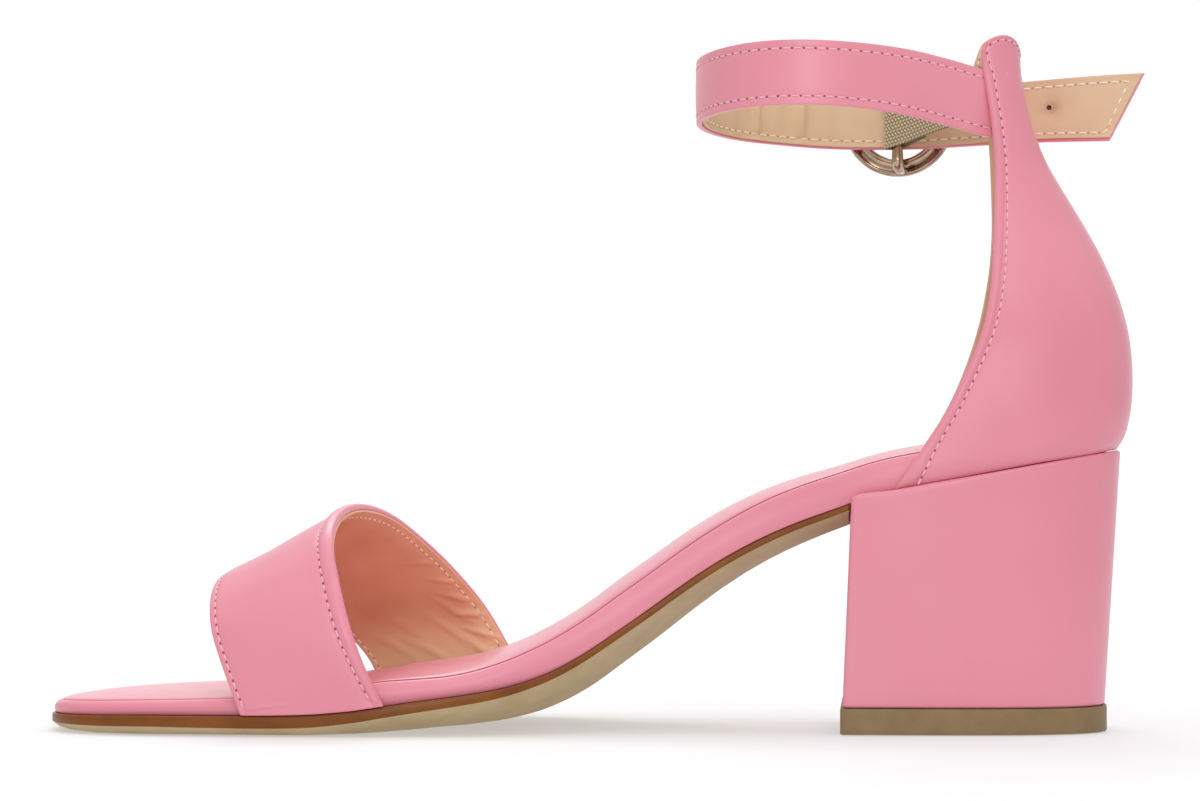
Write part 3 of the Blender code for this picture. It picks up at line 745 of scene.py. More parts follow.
sockPad = {
    "inset": 2.1,
    "fullness": 2.6,
    "soft": 0.68,
    "tuck": 0.62,
    "stand": 0.2,
    "leastCrown": 0.5,
    "seamStart": 62.0,
    "seamRun": 20.0,
}
sockUnder = (0.0, 0.5, 0.9)
sockEdge = ((0.25, -0.62), (0.05, -0.52), (0.0, -0.3), (0.0, -0.1), (0.02, 0.08), (0.08, 0.2), (0.2, 0.28))
sockShares = (0.975, 0.96, 0.94, 0.915, 0.885, 0.85, 0.8, 0.74, 0.66, 0.57, 0.46, 0.34, 0.2, 0.08, 0.0)


def sockRise(share):
    full = float(superellipse(share, sockPad["fullness"]))
    rise = sockPad["soft"] * (1 - share**2) + (1 - sockPad["soft"]) * full
    ring = plan(footLoop, footOut, footSpine, sockPad["inset"], share)
    station = ring[:, 0]
    crown = np.maximum(sockPad["leastCrown"], soleAt("crown", station))
    board = soleAt("base", station) + soleAt("footbed", station)
    return lifted(ring, board + sockPad["stand"] + crown * rise)


sockRings = []
for share in sockUnder:
    sockRings.append(footRing(sockPad["inset"] + 0.3, share, lambda high: high - sockPad["tuck"]))
for inset, up in sockEdge:
    sockRings.append(footRing(sockPad["inset"] + inset, 1.0, lambda high, up=up: high + up))
for share in sockShares:
    sockRings.append(sockRise(share))
sockGrid = stackRings(sockRings)
# painted shade in the seam along the sock's cut edge, faded out round the toe
seamRows = np.zeros(len(sockGrid))
seamRows[:10] = (1, 1, 1, 1, 1, 1, 1, 1, 0.85, 0.25)
seamShade = seamRows[:, None] * smoothStep((sockGrid[..., 0] - sockPad["seamStart"]) / sockPad["seamRun"])
paddedSock = closeMesh(layGrid("paddedSock", sockGrid, sockLeather, {"seamShade": seamShade}))
seat(paddedSock, "pink_leather", "sock")
print("sock done")


# Outsole: painted upright edge, flat tread under the ball, rounded shank

outsole = {
    "count": 420,
    "end": 174.8,
    "corner": 0.35,
    "spine": (36.0, 140.0),
    "flatShare": 0.86,
    "flatFade": (60, 110),
    "swell": 2.2,
    "lip": 0.06,
}
outLoop = evenLoop(soleOutline(outsole["end"]), outsole["count"], outsole["corner"])
outOut = loopNormals(outLoop)
outSpine = spineOf(outLoop, *outsole["spine"])


def outsolePlan(extra, share=1.0):
    margin = soleAt("margin", np.clip(outLoop[:, 0], soleRows[0, 0], soleRows[-1, 0]))
    return plan(outLoop, outOut, outSpine, -(margin + extra), share)


def underside(ring):
    # flat under the ball, swelling below the painted edge along the shank
    station = np.clip(ring[:, 0], 0, outsole["end"])
    half = (edgeAt("lateral", station) - edgeAt("medial", station)) / 2 + soleAt("margin", station)
    share = np.clip(np.abs(ring[:, 1] - middleAt(station)) / np.maximum(half, 0.5), 0, 1)
    flat = np.interp(station, outsole["flatFade"], (outsole["flatShare"], 0.0))
    inward = np.maximum(0, (share - flat) / (1 - flat))
    rim = soleAt("base", station) - soleAt("edge", station)
    low = np.maximum(0, rim - soleAt("drop", station))
    return low + (rim - low) * inward ** outsole["swell"]


# out of the margin, share of the painted edge, further down
paintedRows = (
    (-1.0, 0.0, 0.0), (-0.35, 0.0, 0.0), (-0.12, 0.0, 0.07), (0.0, 0.0, 0.28), (0.03, 0.5, 0.0),
    (0.03, 1.0, -0.3), (-0.02, 1.0, -0.1), (-outsole["lip"], 1.0, -0.04),
)
underShares = (0.994, 0.985, 0.97, 0.95, 0.92, 0.89, 0.86, 0.82, 0.76, 0.68, 0.58, 0.46, 0.32, 0.16, 0.0)
soleRings = []
solePaint = []
for share in (0.0, 0.5, 0.9):
    ring = outsolePlan(-1.0, share)
    soleRings.append(lifted(ring, soleAt("base", ring[:, 0])))
    solePaint.append(1.0)
for extra, level, drop in paintedRows:
    ring = outsolePlan(extra)
    soleRings.append(lifted(ring, soleAt("base", ring[:, 0]) - level * soleAt("edge", ring[:, 0]) - drop))
    solePaint.append(1.0)
for share in underShares:
    ring = outsolePlan(-outsole["lip"], share)
    soleRings.append(lifted(ring, underside(ring)))
    solePaint.append(0.0)
soleGrid = stackRings(soleRings)
soleNotes = np.repeat(np.array(solePaint)[:, None], soleGrid.shape[1], 1)
unitSole = closeMesh(layGrid("unitSole", soleGrid, paintedSole, {"edgePaint": soleNotes}))
seat(unitSole, "outsole", "outsole")
print("outsole done")


# Heel: leather-covered block on a moulded lift

heel = {
    "low": 5.6,
    "round": 0.85,
    "foot": 0.7,
    "count": 320,
    "corner": 0.45,
    "lean": 2.0,
    "back": 229.2,
    "backGain": 3.6,
    "half": 25.4,
    "halfGain": 3.3,
    "spine": (192, 206),
    "seat": 3.2,
    "lip": 1.35,
    "lipRun": 10.0,
    "lipFade": 0.6,
}


def heelPlan(height, grow=0.0):
    # D-shaped plan at a share of the heel's height, flat at the breast
    breast = shoe["breast"] - heel["lean"] * (1 - height) - grow
    back = heel["back"] + heel["backGain"] * height + grow
    half = heel["half"] + heel["halfGain"] * height + grow
    straight = (shoe["counterStart"] - shoe["breast"]) / (shoe["heelEnd"] - shoe["breast"])
    power = 2 / shoe["heelFullness"]
    turn = np.linspace(0, math.pi / 2, 150)
    share = straight + (1 - straight) * np.sin(turn) ** power
    aside = half * np.cos(turn) ** power
    station = breast + (back - breast) * share
    front = np.linspace(breast, station[0], 20)[:-1]
    inner = np.stack([np.append(front, station), np.append(0 * front - half, -aside)], 1)
    outer = inner[::-1] * (1, -1)
    face = np.stack([np.full(40, breast), np.linspace(half, -half, 42)[1:-1]], 1)
    return evenLoop(np.vstack([inner, outer[1:], face]), heel["count"], heel["corner"])


def heelDrawn(height, grow, share):
    # a smaller plan keeps the corners clean where a plain inset would fold over
    loop = heelPlan(height, grow)
    spine = np.stack([np.clip(loop[:, 0], *heel["spine"]), 0 * loop[:, 0]], 1)
    return drawnIn(loop, spine, share)


def heelRing(height, inset, share, level):
    ring = heelDrawn(height, -inset, share)
    # the cover stands a little up beside the footbed at the breast
    seatTop = soleAt("base", ring[:, 0]) + 0.01
    lip = heel["lip"] * (1 - smoothStep((ring[:, 0] - shoe["breast"]) / heel["lipRun"]))
    lipShare = np.clip((heel["seat"] - inset) / heel["lipFade"], 0, 1) * (share == 1.0)
    return lifted(ring, level(seatTop + lip * lipShare))


def heelSide(top, height):
    return heel["low"] + (top - heel["low"]) * height


heelRings = []
for share in (0.0, 0.5):
    heelRings.append(heelRing(0.0, heel["foot"], share, lambda top: heel["low"] + 0 * top))
for angle in np.radians(np.linspace(0, 90, 6)):
    inset = heel["foot"] * (1 - math.sin(angle))
    up = heel["foot"] * (1 - math.cos(angle))
    heelRings.append(heelRing(0.01, inset, 1.0, lambda top, up=up: heel["low"] + up + 0 * top))
for height in np.linspace(0.04, 0.96, 36):
    heelRings.append(heelRing(height, 0.0, 1.0, lambda top, height=height: heelSide(top, height)))
for angle in np.radians(np.linspace(0, 90, 7)):
    inset = heel["round"] * (1 - math.cos(angle))
    down = heel["round"] * (1 - math.sin(angle))
    heelRings.append(heelRing(0.99, inset, 1.0, lambda top, down=down: top - down))
for inset, share in ((1.5, 1.0), (2.5, 1.0), (heel["seat"], 1.0), (heel["seat"], 0.5), (heel["seat"], 0.0)):
    heelRings.append(heelRing(1.0, inset, share, lambda top: top))
coveredHeel = closeMesh(layGrid("coveredHeel", stackRings(heelRings), pinkLeather))
seat(coveredHeel, "pink_leather", "heel_block")

tip = {"height": 5.5, "grow": 0.5, "edge": 0.3, "soft": 0.09, "recess": 0.35}
# in from the edge, share of the plan, height: the recessed tread, the side and the top
tipRows = (
    (3.4, 0.0, tip["recess"]), (3.4, 0.5, tip["recess"]), (3.4, 1.0, tip["recess"]),
    (3.1, 1.0, tip["recess"]), (2.8, 1.0, 0.0), (1.6, 1.0, 0.0),
    (tip["edge"], 1.0, 0.0), (tip["soft"], 1.0, tip["soft"]), (0.0, 1.0, tip["edge"]),
    (0.0, 1.0, 1.6), (0.0, 1.0, 3.6), (0.0, 1.0, tip["height"] - tip["edge"]),
    (tip["soft"], 1.0, tip["height"] - tip["soft"]), (tip["edge"], 1.0, tip["height"]),
    (2.0, 1.0, tip["height"]), (2.0, 0.5, tip["height"]), (2.0, 0.0, tip["height"]),
)
tipRings = []
for inset, share, z in tipRows:
    tipRings.append(lifted(heelDrawn(0.0, tip["grow"] - inset, share), z))
heelLift = closeMesh(layGrid("heelLift", stackRings(tipRings), mouldedLift))
pickOnly(heelLift)
bpy.ops.object.shade_smooth_by_angle(angle=math.radians(40))
seat(heelLift, "heel_tip", "top_lift")
print("heel done")


# Stitches: one thread and one dark disc of painted shade at the needle hole, copied along each row

stitch = {
    "radius": 0.2,
    "length": 0.74,
    "fullness": 0.7,
    "dip": 0.24,
    "holeRadius": 0.27,
    "holeFlat": 0.2,
    # how high the thread and the disc of painted shade at the needle hole lie on the face
    "onLeather": (-0.06, -0.1),
    "onLining": (0.04, 0.0),
}


def threadMaster(pitch, finish):
    master = newShape(bpy.ops.mesh.primitive_uv_sphere_add, segments=6, ring_count=6, radius=1.0)
    bpy.ops.object.mode_set(mode="EDIT")
    bpy.ops.transform.rotate(value=math.pi / 2, orient_axis="Y", center_override=(0, 0, 0))
    bpy.ops.object.mode_set(mode="OBJECT")
    half = pitch * stitch["length"] / 2
    for vertex in master.data.vertices:
        x, y, z = vertex.co
        full = math.copysign(abs(x) ** stitch["fullness"], x)
        sag = stitch["dip"] * x * x
        vertex.co = (full * half * 0.001, y * stitch["radius"] * 0.001, (z * stitch["radius"] - sag) * 0.001)
    master.data.materials.append(finish)
    bpy.ops.object.shade_smooth()
    return master


# a flat dark disc standing for a needle hole: painted shade, not a hole
def holeShadeMaster(finish):
    radius = stitch["holeRadius"] * 0.001
    master = newShape(bpy.ops.mesh.primitive_uv_sphere_add, segments=8, ring_count=4, radius=radius)
    stretch(master, (1.0, 1.0, stitch["holeFlat"]))
    master.data.materials.append(finish)
    return master


def rowFrames(points, normals, pitch, start):
    # places along a row: position, direction and the surface's own normal
    arc = arcOf(points)
    count = int(arc[-1] / pitch - start)
    frames = []
    for here in (np.arange(count) + start) * pitch:
        spot = np.array([np.interp(here, arc, points[:, k]) for k in range(3)])
        fore = np.array([np.interp(here + 0.3, arc, points[:, k]) for k in range(3)])
        back = np.array([np.interp(here - 0.3, arc, points[:, k]) for k in range(3)])
        up = np.array([np.interp(here, arc, normals[:, k]) for k in range(3)])
        frames.append((spot, fore - back, up))
    return frames


def frameMatrix(spot, ahead, up, height):
    up = Vector(up).normalized()
    ahead = Vector(ahead)
    ahead = (ahead - up * ahead.dot(up)).normalized()
    side = up.cross(ahead)
    place = Vector(toFrame(spot)) + up * (height * 0.001)
    turned = Matrix((ahead, side, up)).transposed().to_4x4()
    return Matrix.Translation(place) @ turned


def sew(name, rows, pitch, heights, inside=False):
    # every row's threads joined as one piece, its discs of painted shade at the needle holes as another
    threads = threadMaster(pitch, creamThread if inside else paleThread)
    holeShades = holeShadeMaster(liningHoleShade if inside else needleHoleShade)
    kinds = (("Thread", threads, 0.5, heights[0]), ("HoleShades", holeShades, 1.0, heights[1]))
    for kind, master, start, height in kinds:
        copies = []
        for points, normals in rows:
            for spot, ahead, up in rowFrames(points, normals, pitch, start):
                copy = master.copy()
                copy.data = master.data.copy()
                copy.data.transform(frameMatrix(spot, ahead, up, height))
                scene.collection.objects.link(copy)
                copies.append(copy)
        bpy.data.objects.remove(master)
        seat(joinAll(name + kind, copies), "pink_leather")


def pucker(distance, width, depth):
    # soft trough that a row of stitches pulls into the leather
    return -depth * bell(distance, width)


def pulled(along, pitch):
    # the trough is deepest at each stitch
    return 1 + 0.35 * np.cos(2 * math.pi * along / pitch)


# Toe band: two edges over the ball, feet lasted down beside the footbed

toeBand = {
    "feet": {"medialFront": 46.0, "medialBack": 76.6, "lateralFront": 64.8, "lateralBack": 98.0},
    "stand": 2.48,
    "footLift": 0.12,
    "footFade": 0.36,
    "footRun": 1.6,
    "wall": 1.25,
    "rounding": 0.28,
    "liningWall": 0.55,
    "liningRounding": 0.14,
    "liningGap": 0.02,
    "frontStitch": 1.3,
    "backStitch": 3.3,
    "outerStitch": 1.8,
    "footStitch": 1.1,
    "footShare": 0.17,
    "pitch": 2.1,
    "roll": 0.75,
    "turnDown": 0.3,
    "turnRun": 4.5,
    "sag": 0.45,
    "groove": 0.16,
    "ridge": 0.24,
    "inside": (62.0, 0.0, 8.0),
}
# front edge, then back edge, from the inner to the outer foot
bandRows = np.array((
    (42.2, -41.3, 14.5, 72.4, -41.3, 15.0), (39.6, -40.4, 22.5, 69.2, -41.0, 23.8),
    (38.5, -36.2, 28.6, 66.8, -38.8, 32.0), (38.1, -29.0, 32.2, 64.6, -34.0, 39.2),
    (38.5, -19.0, 34.2, 63.6, -27.0, 43.9), (40.0, -4.0, 35.3, 63.9, -15.0, 47.6),
    (43.5, 12.0, 34.4, 66.3, 0.0, 48.9), (48.5, 26.0, 30.5, 71.0, 14.0, 46.6),
    (53.5, 34.8, 25.0, 77.0, 26.5, 40.6), (57.6, 40.8, 18.5, 83.2, 35.2, 33.4),
    (62.2, 43.1, 12.0, 90.0, 41.4, 24.0),
))


def bandFoot(side, station):
    sign = 1 if side == "lateral" else -1
    y = edgeAt(side, station) + sign * toeBand["stand"]
    return np.stack([np.asarray(station, float), y, soleAt("base", station) + toeBand["footLift"]], -1)


def bandEdge(end):
    feet = toeBand["feet"]
    columns = slice(0, 3) if end == "Front" else slice(3, 6)
    points = [bandFoot("medial", feet["medial" + end])]
    points += list(bandRows[:, columns])
    points.append(bandFoot("lateral", feet["lateral" + end]))
    return evenPath(np.array(points), 1200, 1.6)


bandFront = bandEdge("Front")
bandBack = bandEdge("Back")


def onLine(line, share):
    at = np.asarray(share) * (len(line) - 1)
    index = np.arange(len(line))
    return np.stack([np.interp(at, index, line[:, k]) for k in range(3)], -1)


def nearFeet(u):
    # full at the two feet, gone over the top of the band
    return smoothStep(1 - np.minimum(u, 1 - u) / toeBand["footFade"])


def bandFace(u, v):
    # u from the inner to the outer foot, v from the front to the back edge
    u, v = np.broadcast_arrays(u, v)
    front = onLine(bandFront, u)
    places = front + (onLine(bandBack, u) - front) * v[..., None]
    feet = toeBand["feet"]
    fade = nearFeet(u)
    for side, end, mask in (("medial", 0, u < 0.5), ("lateral", -1, u >= 0.5)):
        station = feet[side + "Front"] + (feet[side + "Back"] - feet[side + "Front"]) * v
        straight = bandFront[end] + (bandBack[end] - bandFront[end]) * v[..., None]
        shift = bandFoot(side, station) - straight
        places[..., 1:] += shift[..., 1:] * (fade * mask)[..., None]
    return places


def bandWidth(u):
    return np.linalg.norm(onLine(bandBack, u) - onLine(bandFront, u), axis=-1)


def backSeam(u):
    # the back row runs nearer the edge on the outer side and by the inner foot
    outward = (toeBand["backStitch"] - toeBand["outerStitch"]) * smoothStep((u - 0.4) / 0.25)
    footward = toeBand["footStitch"] * smoothStep((toeBand["footShare"] - u) / toeBand["footShare"])
    return toeBand["backStitch"] - outward - footward


def bandLaid(u, fromFront):
    # points at set distances behind the front edge, with the surface's normals
    width = bandWidth(u)
    v = fromFront / width
    places = bandFace(u, v)
    ahead = bandFace(np.clip(u + 0.002, 0, 1), v) - bandFace(np.clip(u - 0.002, 0, 1), v)
    normals = np.cross(ahead, bandFace(u, v + 0.004) - bandFace(u, v - 0.004))
    normals /= np.linalg.norm(normals, axis=-1)[..., None]
    if np.mean(np.sum(normals * (places - np.array(toeBand["inside"])), -1)) < 0:
        normals = -normals
    turned = toeBand["turnDown"] * np.clip(1 - fromFront / toeBand["turnRun"], 0, 1) ** 2
    turned = turned + toeBand["sag"] * bell(v - 0.3, 0.19) * (1 - nearFeet(u))
    return places - normals * turned[..., None], normals, fromFront, width - fromFront


def bandGrid(u, frontList, backList, middle):
    # columns at set distances from the two edges, evenly spaced between them
    u = u[:, None]
    near = np.array(frontList)[None, :] + 0 * u
    far = bandWidth(u) - np.array(backList)[None, :] * backSeam(u) / toeBand["backStitch"]
    share = np.linspace(0, 1, middle + 1)[None, 1:-1]
    return bandLaid(u, np.concatenate([near, near[:, -1:] + (far[:, :1] - near[:, -1:]) * share, far], 1))


bandFrontList = (0.0, 0.6, 0.85, 1.05, 1.2, 1.3, 1.4, 1.55, 1.8, 2.2, 2.9, 3.9, 5.2)
bandBackList = (8.0, 6.6, 5.4, 4.6, 4.1, 3.75, 3.5, 3.37, 3.3, 3.23, 3.1, 2.85, 2.45, 1.95, 1.4, 0.7, 0.0)
# finer steps at the inner foot, where the ridge lies
bandU = np.concatenate([[0.0], np.linspace(0.0045, 0.035, 30)[:-1], np.linspace(0.035, 1, 318)])
places, normals, toFront, toBack = bandGrid(bandU, bandFrontList, bandBackList, 16)
bandLength = arcOf((bandFront + bandBack) / 2)[-1]
alongBand = bandU[:, None] * bandLength
backRow = backSeam(bandU)[:, None]
pull = pulled(alongBand, toeBand["pitch"])
relief = pucker(toFront - toeBand["frontStitch"], 0.3, toeBand["groove"]) * pull
relief += pucker(toBack - backRow, 0.36, toeBand["groove"] * 1.3) * pull
rollShare = 0.55 + 0.45 * smoothStep((np.minimum(bandU, 1 - bandU) - 0.2) / 0.15)[:, None]
relief += toeBand["roll"] * rollShare * np.sin(np.clip(toBack / backRow, 0, 1) * math.pi)
# a thin ridge where the leather was pulled down at the inner front foot
relief += toeBand["ridge"] * bell(alongBand - 1.3 - 0.12 * toFront, 0.3) * bell(toFront - 5.0, 3.4)
# nothing stands out of the cut edge at the two feet
relief *= smoothStep(np.minimum(alongBand, bandLength - alongBand) / toeBand["footRun"])
outer = places + normals * relief[..., None]
outer, hidden = turnOut(outer, normals, places - normals * toeBand["wall"])
toeBandLeather = layGrid("toeBandLeather", outer, pinkLeather)
thicken(toeBandLeather, toeBand["wall"], toeBand["rounding"], hidden=hidden)
seat(toeBandLeather, "pink_leather", "vamp_band")

# soft folds in the lining: along in shares of the length, across, length, width, height, turn
bandFolds = (
    (0.905, 7.5, 9.0, 1.6, 0.32, 0.5),
    (0.870, 13.0, 11.0, 2.0, 0.2, 0.35),
    (0.935, 15.0, 8.0, 1.6, 0.28, 0.7),
    (0.900, 22.0, 8.0, 1.5, 0.35, 0.4),
    (0.860, 25.5, 7.0, 1.2, 0.4, 0.5),
    (0.950, 26.5, 7.0, 1.1, 0.5, 0.5),
    (0.805, 6.0, 10.0, 2.0, 0.22, 0.6),
    (0.800, 28.5, 6.0, 1.0, 0.40, 1.0),
    (0.840, 28.5, 6.0, 1.0, 0.55, 0.9),
    (0.880, 29.5, 6.0, 0.9, 0.60, 1.2),
    (0.920, 29.0, 6.0, 0.9, 0.60, 1.0),
    (0.955, 29.5, 5.0, 0.8, 0.50, 1.2),
    (0.745, 27.0, 6.0, 1.1, 0.30, 1.1),
    (0.110, 12.0, 9.0, 1.5, 0.4, -0.4),
    (0.080, 20.0, 8.0, 1.3, 0.4, -0.2),
)


def foldHeight(along, across, folds, length):
    # soft ridges laid one by one, each tapering out at its ends
    height = np.zeros(np.broadcast(along, across).shape)
    for start, aside, reach, width, high, turn in folds:
        da = along - start * length
        db = across - aside
        run = da * math.cos(turn) + db * math.sin(turn)
        cross = -da * math.sin(turn) + db * math.cos(turn) + 0.03 * run**2 / reach
        height = height + high * bell(cross, width * 0.5) * bell(run, reach * 0.45)
    return height


liningFrontList = (0.3, 0.8, 1.3, 1.8, 2.6, 3.6, 5.0)
liningBackList = (5.0, 4.2, 3.6, 3.3, 3.0, 2.5, 1.9, 1.2, 0.6, 0.27)
liningU = np.linspace(0, 1, 300)
places, normals, toFront, toBack = bandGrid(liningU, liningFrontList, liningBackList, 40)
alongBand = liningU[:, None] * bandLength
backRow = backSeam(liningU)[:, None]
swell = foldHeight(alongBand, toFront, bandFolds, bandLength)
swell += 0.12 * (1 + np.sin(alongBand * 0.35 + toFront * 0.2)) * bell(toFront - 15, 8)
swell = swell * (1 - 0.85 * bell(toFront - toeBand["frontStitch"], 0.7)) * smoothStep(toBack / 1.6)
swell = swell - np.minimum(swell, 0.3) * bell(toBack - backRow, 0.5)
inner = places - normals * (toeBand["wall"] + toeBand["liningGap"] + swell)[..., None]
# painted light: the lining is paler along its back edge and down by the outer foot
paintedLight = 0.5 * smoothStep((6.0 - toBack) / 5.0) + 0.8 * smoothStep((liningU[:, None] - 0.82) / 0.16)
paintedLight = np.clip(paintedLight, 0, 0.85)
inner, paintedLight = turnOut(inner, normals, paintedLight)
toeBandLining = layGrid("toeBandLining", inner, pinkBounceLining, {"seamShade": paintedLight})
thicken(toeBandLining, toeBand["liningWall"], toeBand["liningRounding"])
seat(toeBandLining, "pink_leather")


def bandSeams(depth):
    # the rows along the front and back edges
    u = np.linspace(0.012, 0.988, 500)[:, None]
    rows = []
    for fromFront in (toeBand["frontStitch"] + 0 * u, bandWidth(u) - backSeam(u)):
        laid, out, _, _ = bandLaid(u, fromFront)
        rows.append(((laid + out * depth)[:, 0], (out * (1 if depth >= 0 else -1))[:, 0]))
    return rows


sew("toeBand", bandSeams(0.0), toeBand["pitch"], stitch["onLeather"])
bandDepth = toeBand["wall"] + toeBand["liningWall"] + toeBand["liningGap"]
sew("toeBandLining", bandSeams(-bandDepth), toeBand["pitch"], stitch["onLining"], True)
print("toe band done")


# Heel counter: closed back, narrowing to the ankle, with rounded tabs

counter = {
    "wall": 1.3,
    "rounding": 0.3,
    "liningWall": 0.8,
    "liningRounding": 0.22,
    "liningGap": 0.03,
    "middle": 209.0,
    "footLevel": 53.0,
    "topLevel": 148.0,
    "stitch": 2.25,
    "footWide": 0.7,
    "wideStart": 68.0,
    "wideRun": 17.0,
    "tabInset": 1.25,
    "tabStart": 141.0,
    "tabRun": 7.0,
    "pitch": 2.1,
    "groove": 0.16,
    "roll": 0.28,
    "footTurn": 1.3,
    "footTurnRun": 4.4,
    "footRun": 1.6,
    "tuck": 0.02,
    "backTuck": 0.3,
    "backStart": 212.0,
    "backRun": 16.0,
    "crest": 150.9,
    "rise": 1.5,
    "lead": 2.4,
    "leadStart": 128.0,
    "leadFull": 146.0,
}
# how far each front edge is cut back from the plain curve, by height
edgeRows = np.array((
    (48.0, 0.0, 0.0), (62.0, 0.0, 0.0), (69.0, 0.0, 0.0), (73.0, -0.1, 0.1), (77.0, 0.15, 0.2),
    (81.0, 0.5, 0.4), (85.0, 0.9, 0.6), (89.0, 1.1, 0.9), (95.0, 1.2, 1.2), (100.0, 1.1, 1.5),
    (105.0, 1.0, 1.6), (112.0, 0.9, 1.4), (122.0, 0.9, 0.9), (131.0, 0.5, 0.5), (139.0, -0.3, -0.2),
    (146.0, -0.9, 0.1), (153.0, -1.0, 0.3),
))
edgeCuts = curvesOf(("inner", "outer"), edgeRows, 2.0)
# height, then the columns that counterCurves names
counterRows = np.array((
    (50.0, 182.6, 232.6, 28.5, 3.0), (60.0, 189.0, 232.9, 28.6, 3.0), (68.0, 194.5, 235.0, 28.7, 2.9),
    (76.0, 198.3, 235.6, 28.2, 2.8), (84.0, 200.9, 235.1, 27.0, 2.7), (92.0, 202.6, 233.3, 24.7, 2.6),
    (103.0, 203.8, 228.9, 20.4, 2.5), (114.0, 204.4, 222.7, 16.6, 2.5), (125.0, 204.5, 216.4, 13.9, 2.5),
    (136.0, 204.1, 212.9, 12.2, 2.5), (146.0, 203.5, 211.5, 11.5, 2.5), (153.0, 203.3, 211.7, 11.2, 2.5),
))
counterCurves = curvesOf(("front", "back", "half", "fullness"), counterRows, 2.5)


def counterAt(turn, z):
    # outer face: -90 degrees inner front edge, 0 back, 90 outer front edge
    power = 2 / counterCurves["fullness"](z)
    front = counterCurves["front"](z)
    depth = counterCurves["back"](z) - front
    reach = np.clip((z - counter["leadStart"]) / (counter["leadFull"] - counter["leadStart"]), 0, 1)
    outerEdge = edgeCuts["outer"](z) - counter["lead"] * smoothStep(reach)
    front = front + np.where(turn < 0, edgeCuts["inner"](z), outerEdge) * np.sin(turn) ** 2
    station = front + depth * np.maximum(0, np.cos(turn)) ** power
    across = np.sign(turn) * np.abs(np.sin(turn)) ** power * counterCurves["half"](z)
    return np.stack(np.broadcast_arrays(station, across, z), -1)


# girths measured at levels 1 mm apart, and the turn at even shares of each
counterLevels = np.arange(48.0, 153.1, 1.0)
counterShares = np.linspace(-1, 1, 801)
halfMedial = np.zeros(len(counterLevels))
halfLateral = np.zeros(len(counterLevels))
turnTable = np.zeros((len(counterLevels), len(counterShares)))
fineTurn = math.pi / 2 * np.sin(np.linspace(-math.pi / 2, math.pi / 2, 3001))
fineTurn = np.sign(fineTurn) * np.abs(fineTurn / (math.pi / 2)) ** 1.3 * (math.pi / 2)
for levelAt, level in enumerate(counterLevels):
    levelArc = arcOf(counterAt(fineTurn, np.full(len(fineTurn), level)))
    levelArc -= np.interp(0.0, fineTurn, levelArc)
    halfMedial[levelAt] = -levelArc[0]
    halfLateral[levelAt] = levelArc[-1]
    ruler = np.where(counterShares < 0, counterShares * -levelArc[0], counterShares * levelArc[-1])
    turnTable[levelAt] = np.interp(ruler, levelArc, fineTurn)


def medialAt(z):
    return np.interp(z, counterLevels, halfMedial)


def lateralAt(z):
    return np.interp(z, counterLevels, halfLateral)


def counterHalf(x, z):
    return np.where(x < 0, medialAt(z), lateralAt(z))


def counterTurn(x, z):
    # angle at a distance x round from the back, at height z, read between the table's rows and columns
    share = np.clip(x / counterHalf(x, z), -1, 1)
    lastColumn = len(counterShares) - 1
    row = np.clip(z - counterLevels[0], 0, len(counterLevels) - 1.001)
    column = np.clip((share + 1) / 2 * lastColumn, 0, lastColumn - 0.001)
    r = row.astype(int)
    c = column.astype(int)
    up = row - r
    on = column - c
    low = turnTable[r, c] * (1 - on) + turnTable[r, c + 1] * on
    high = turnTable[r + 1, c] * (1 - on) + turnTable[r + 1, c + 1] * on
    return low * (1 - up) + high * up


# drop of the top edge below the crest, behind the front edge of the inner and the outer tab
tabRows = np.array((
    (0.0, 4.4, 7.4), (0.5, 2.8, 5.6), (1.1, 1.85, 4.1), (1.7, 1.4, 2.7), (2.5, 0.95, 1.3), (3.6, 0.5, 0.4),
    (5.2, 0.1, 0.0), (7.0, 0.0, 0.0), (9.5, 0.0, 0.0),
))
# the same ahead of the back
dipRows = np.array((
    (0.0, 3.0), (0.3, 2.2), (0.7, 1.5), (1.2, 0.9), (2.0, 0.4), (3.2, 0.08), (4.5, 0.0), (9.0, 0.0),
))


def counterTop(x):
    # rounded tabs at the front, a low dip at the back
    level = np.full(np.shape(x), counter["topLevel"])
    station = counterAt(counterTurn(x, level), level)[..., 0]
    edge = counterAt(np.where(x > 0, 0.5, -0.5) * math.pi, level)[..., 0]
    inner = follow(tabRows[:, 0], tabRows[:, 1], station - edge)
    outer = follow(tabRows[:, 0], tabRows[:, 2], station - edge)
    dip = follow(dipRows[:, 0], dipRows[:, 1], counterCurves["back"](level) - station)
    crest = counter["crest"] + counter["rise"] * smoothStep(x / counterHalf(x, level))
    return crest - np.where(x > 0, outer, inner) - dip


def counterFoot(turn):
    # the height where the counter meets the footbed's seat, found in a few rounds
    z = np.full(np.shape(turn), 52.0)
    for _ in range(8):
        station = counterAt(turn, z)[..., 0]
        sunk = counter["backTuck"] * smoothStep((station - counter["backStart"]) / counter["backRun"])
        z = soleAt("base", station) - counter["tuck"] - sunk
    return z


def footWide(z):
    # the margin outside the stitches widens towards the foot
    return 1 + counter["footWide"] * smoothStep((counter["wideStart"] - z) / counter["wideRun"])


def awayFromMiddle(normals, places):
    # normals turned away from the line up the counter's middle
    middleLine = places * (0, 0, 1) + (counter["middle"], 0, 0)
    return -normals if np.sum(normals * (places - middleLine)) < 0 else normals


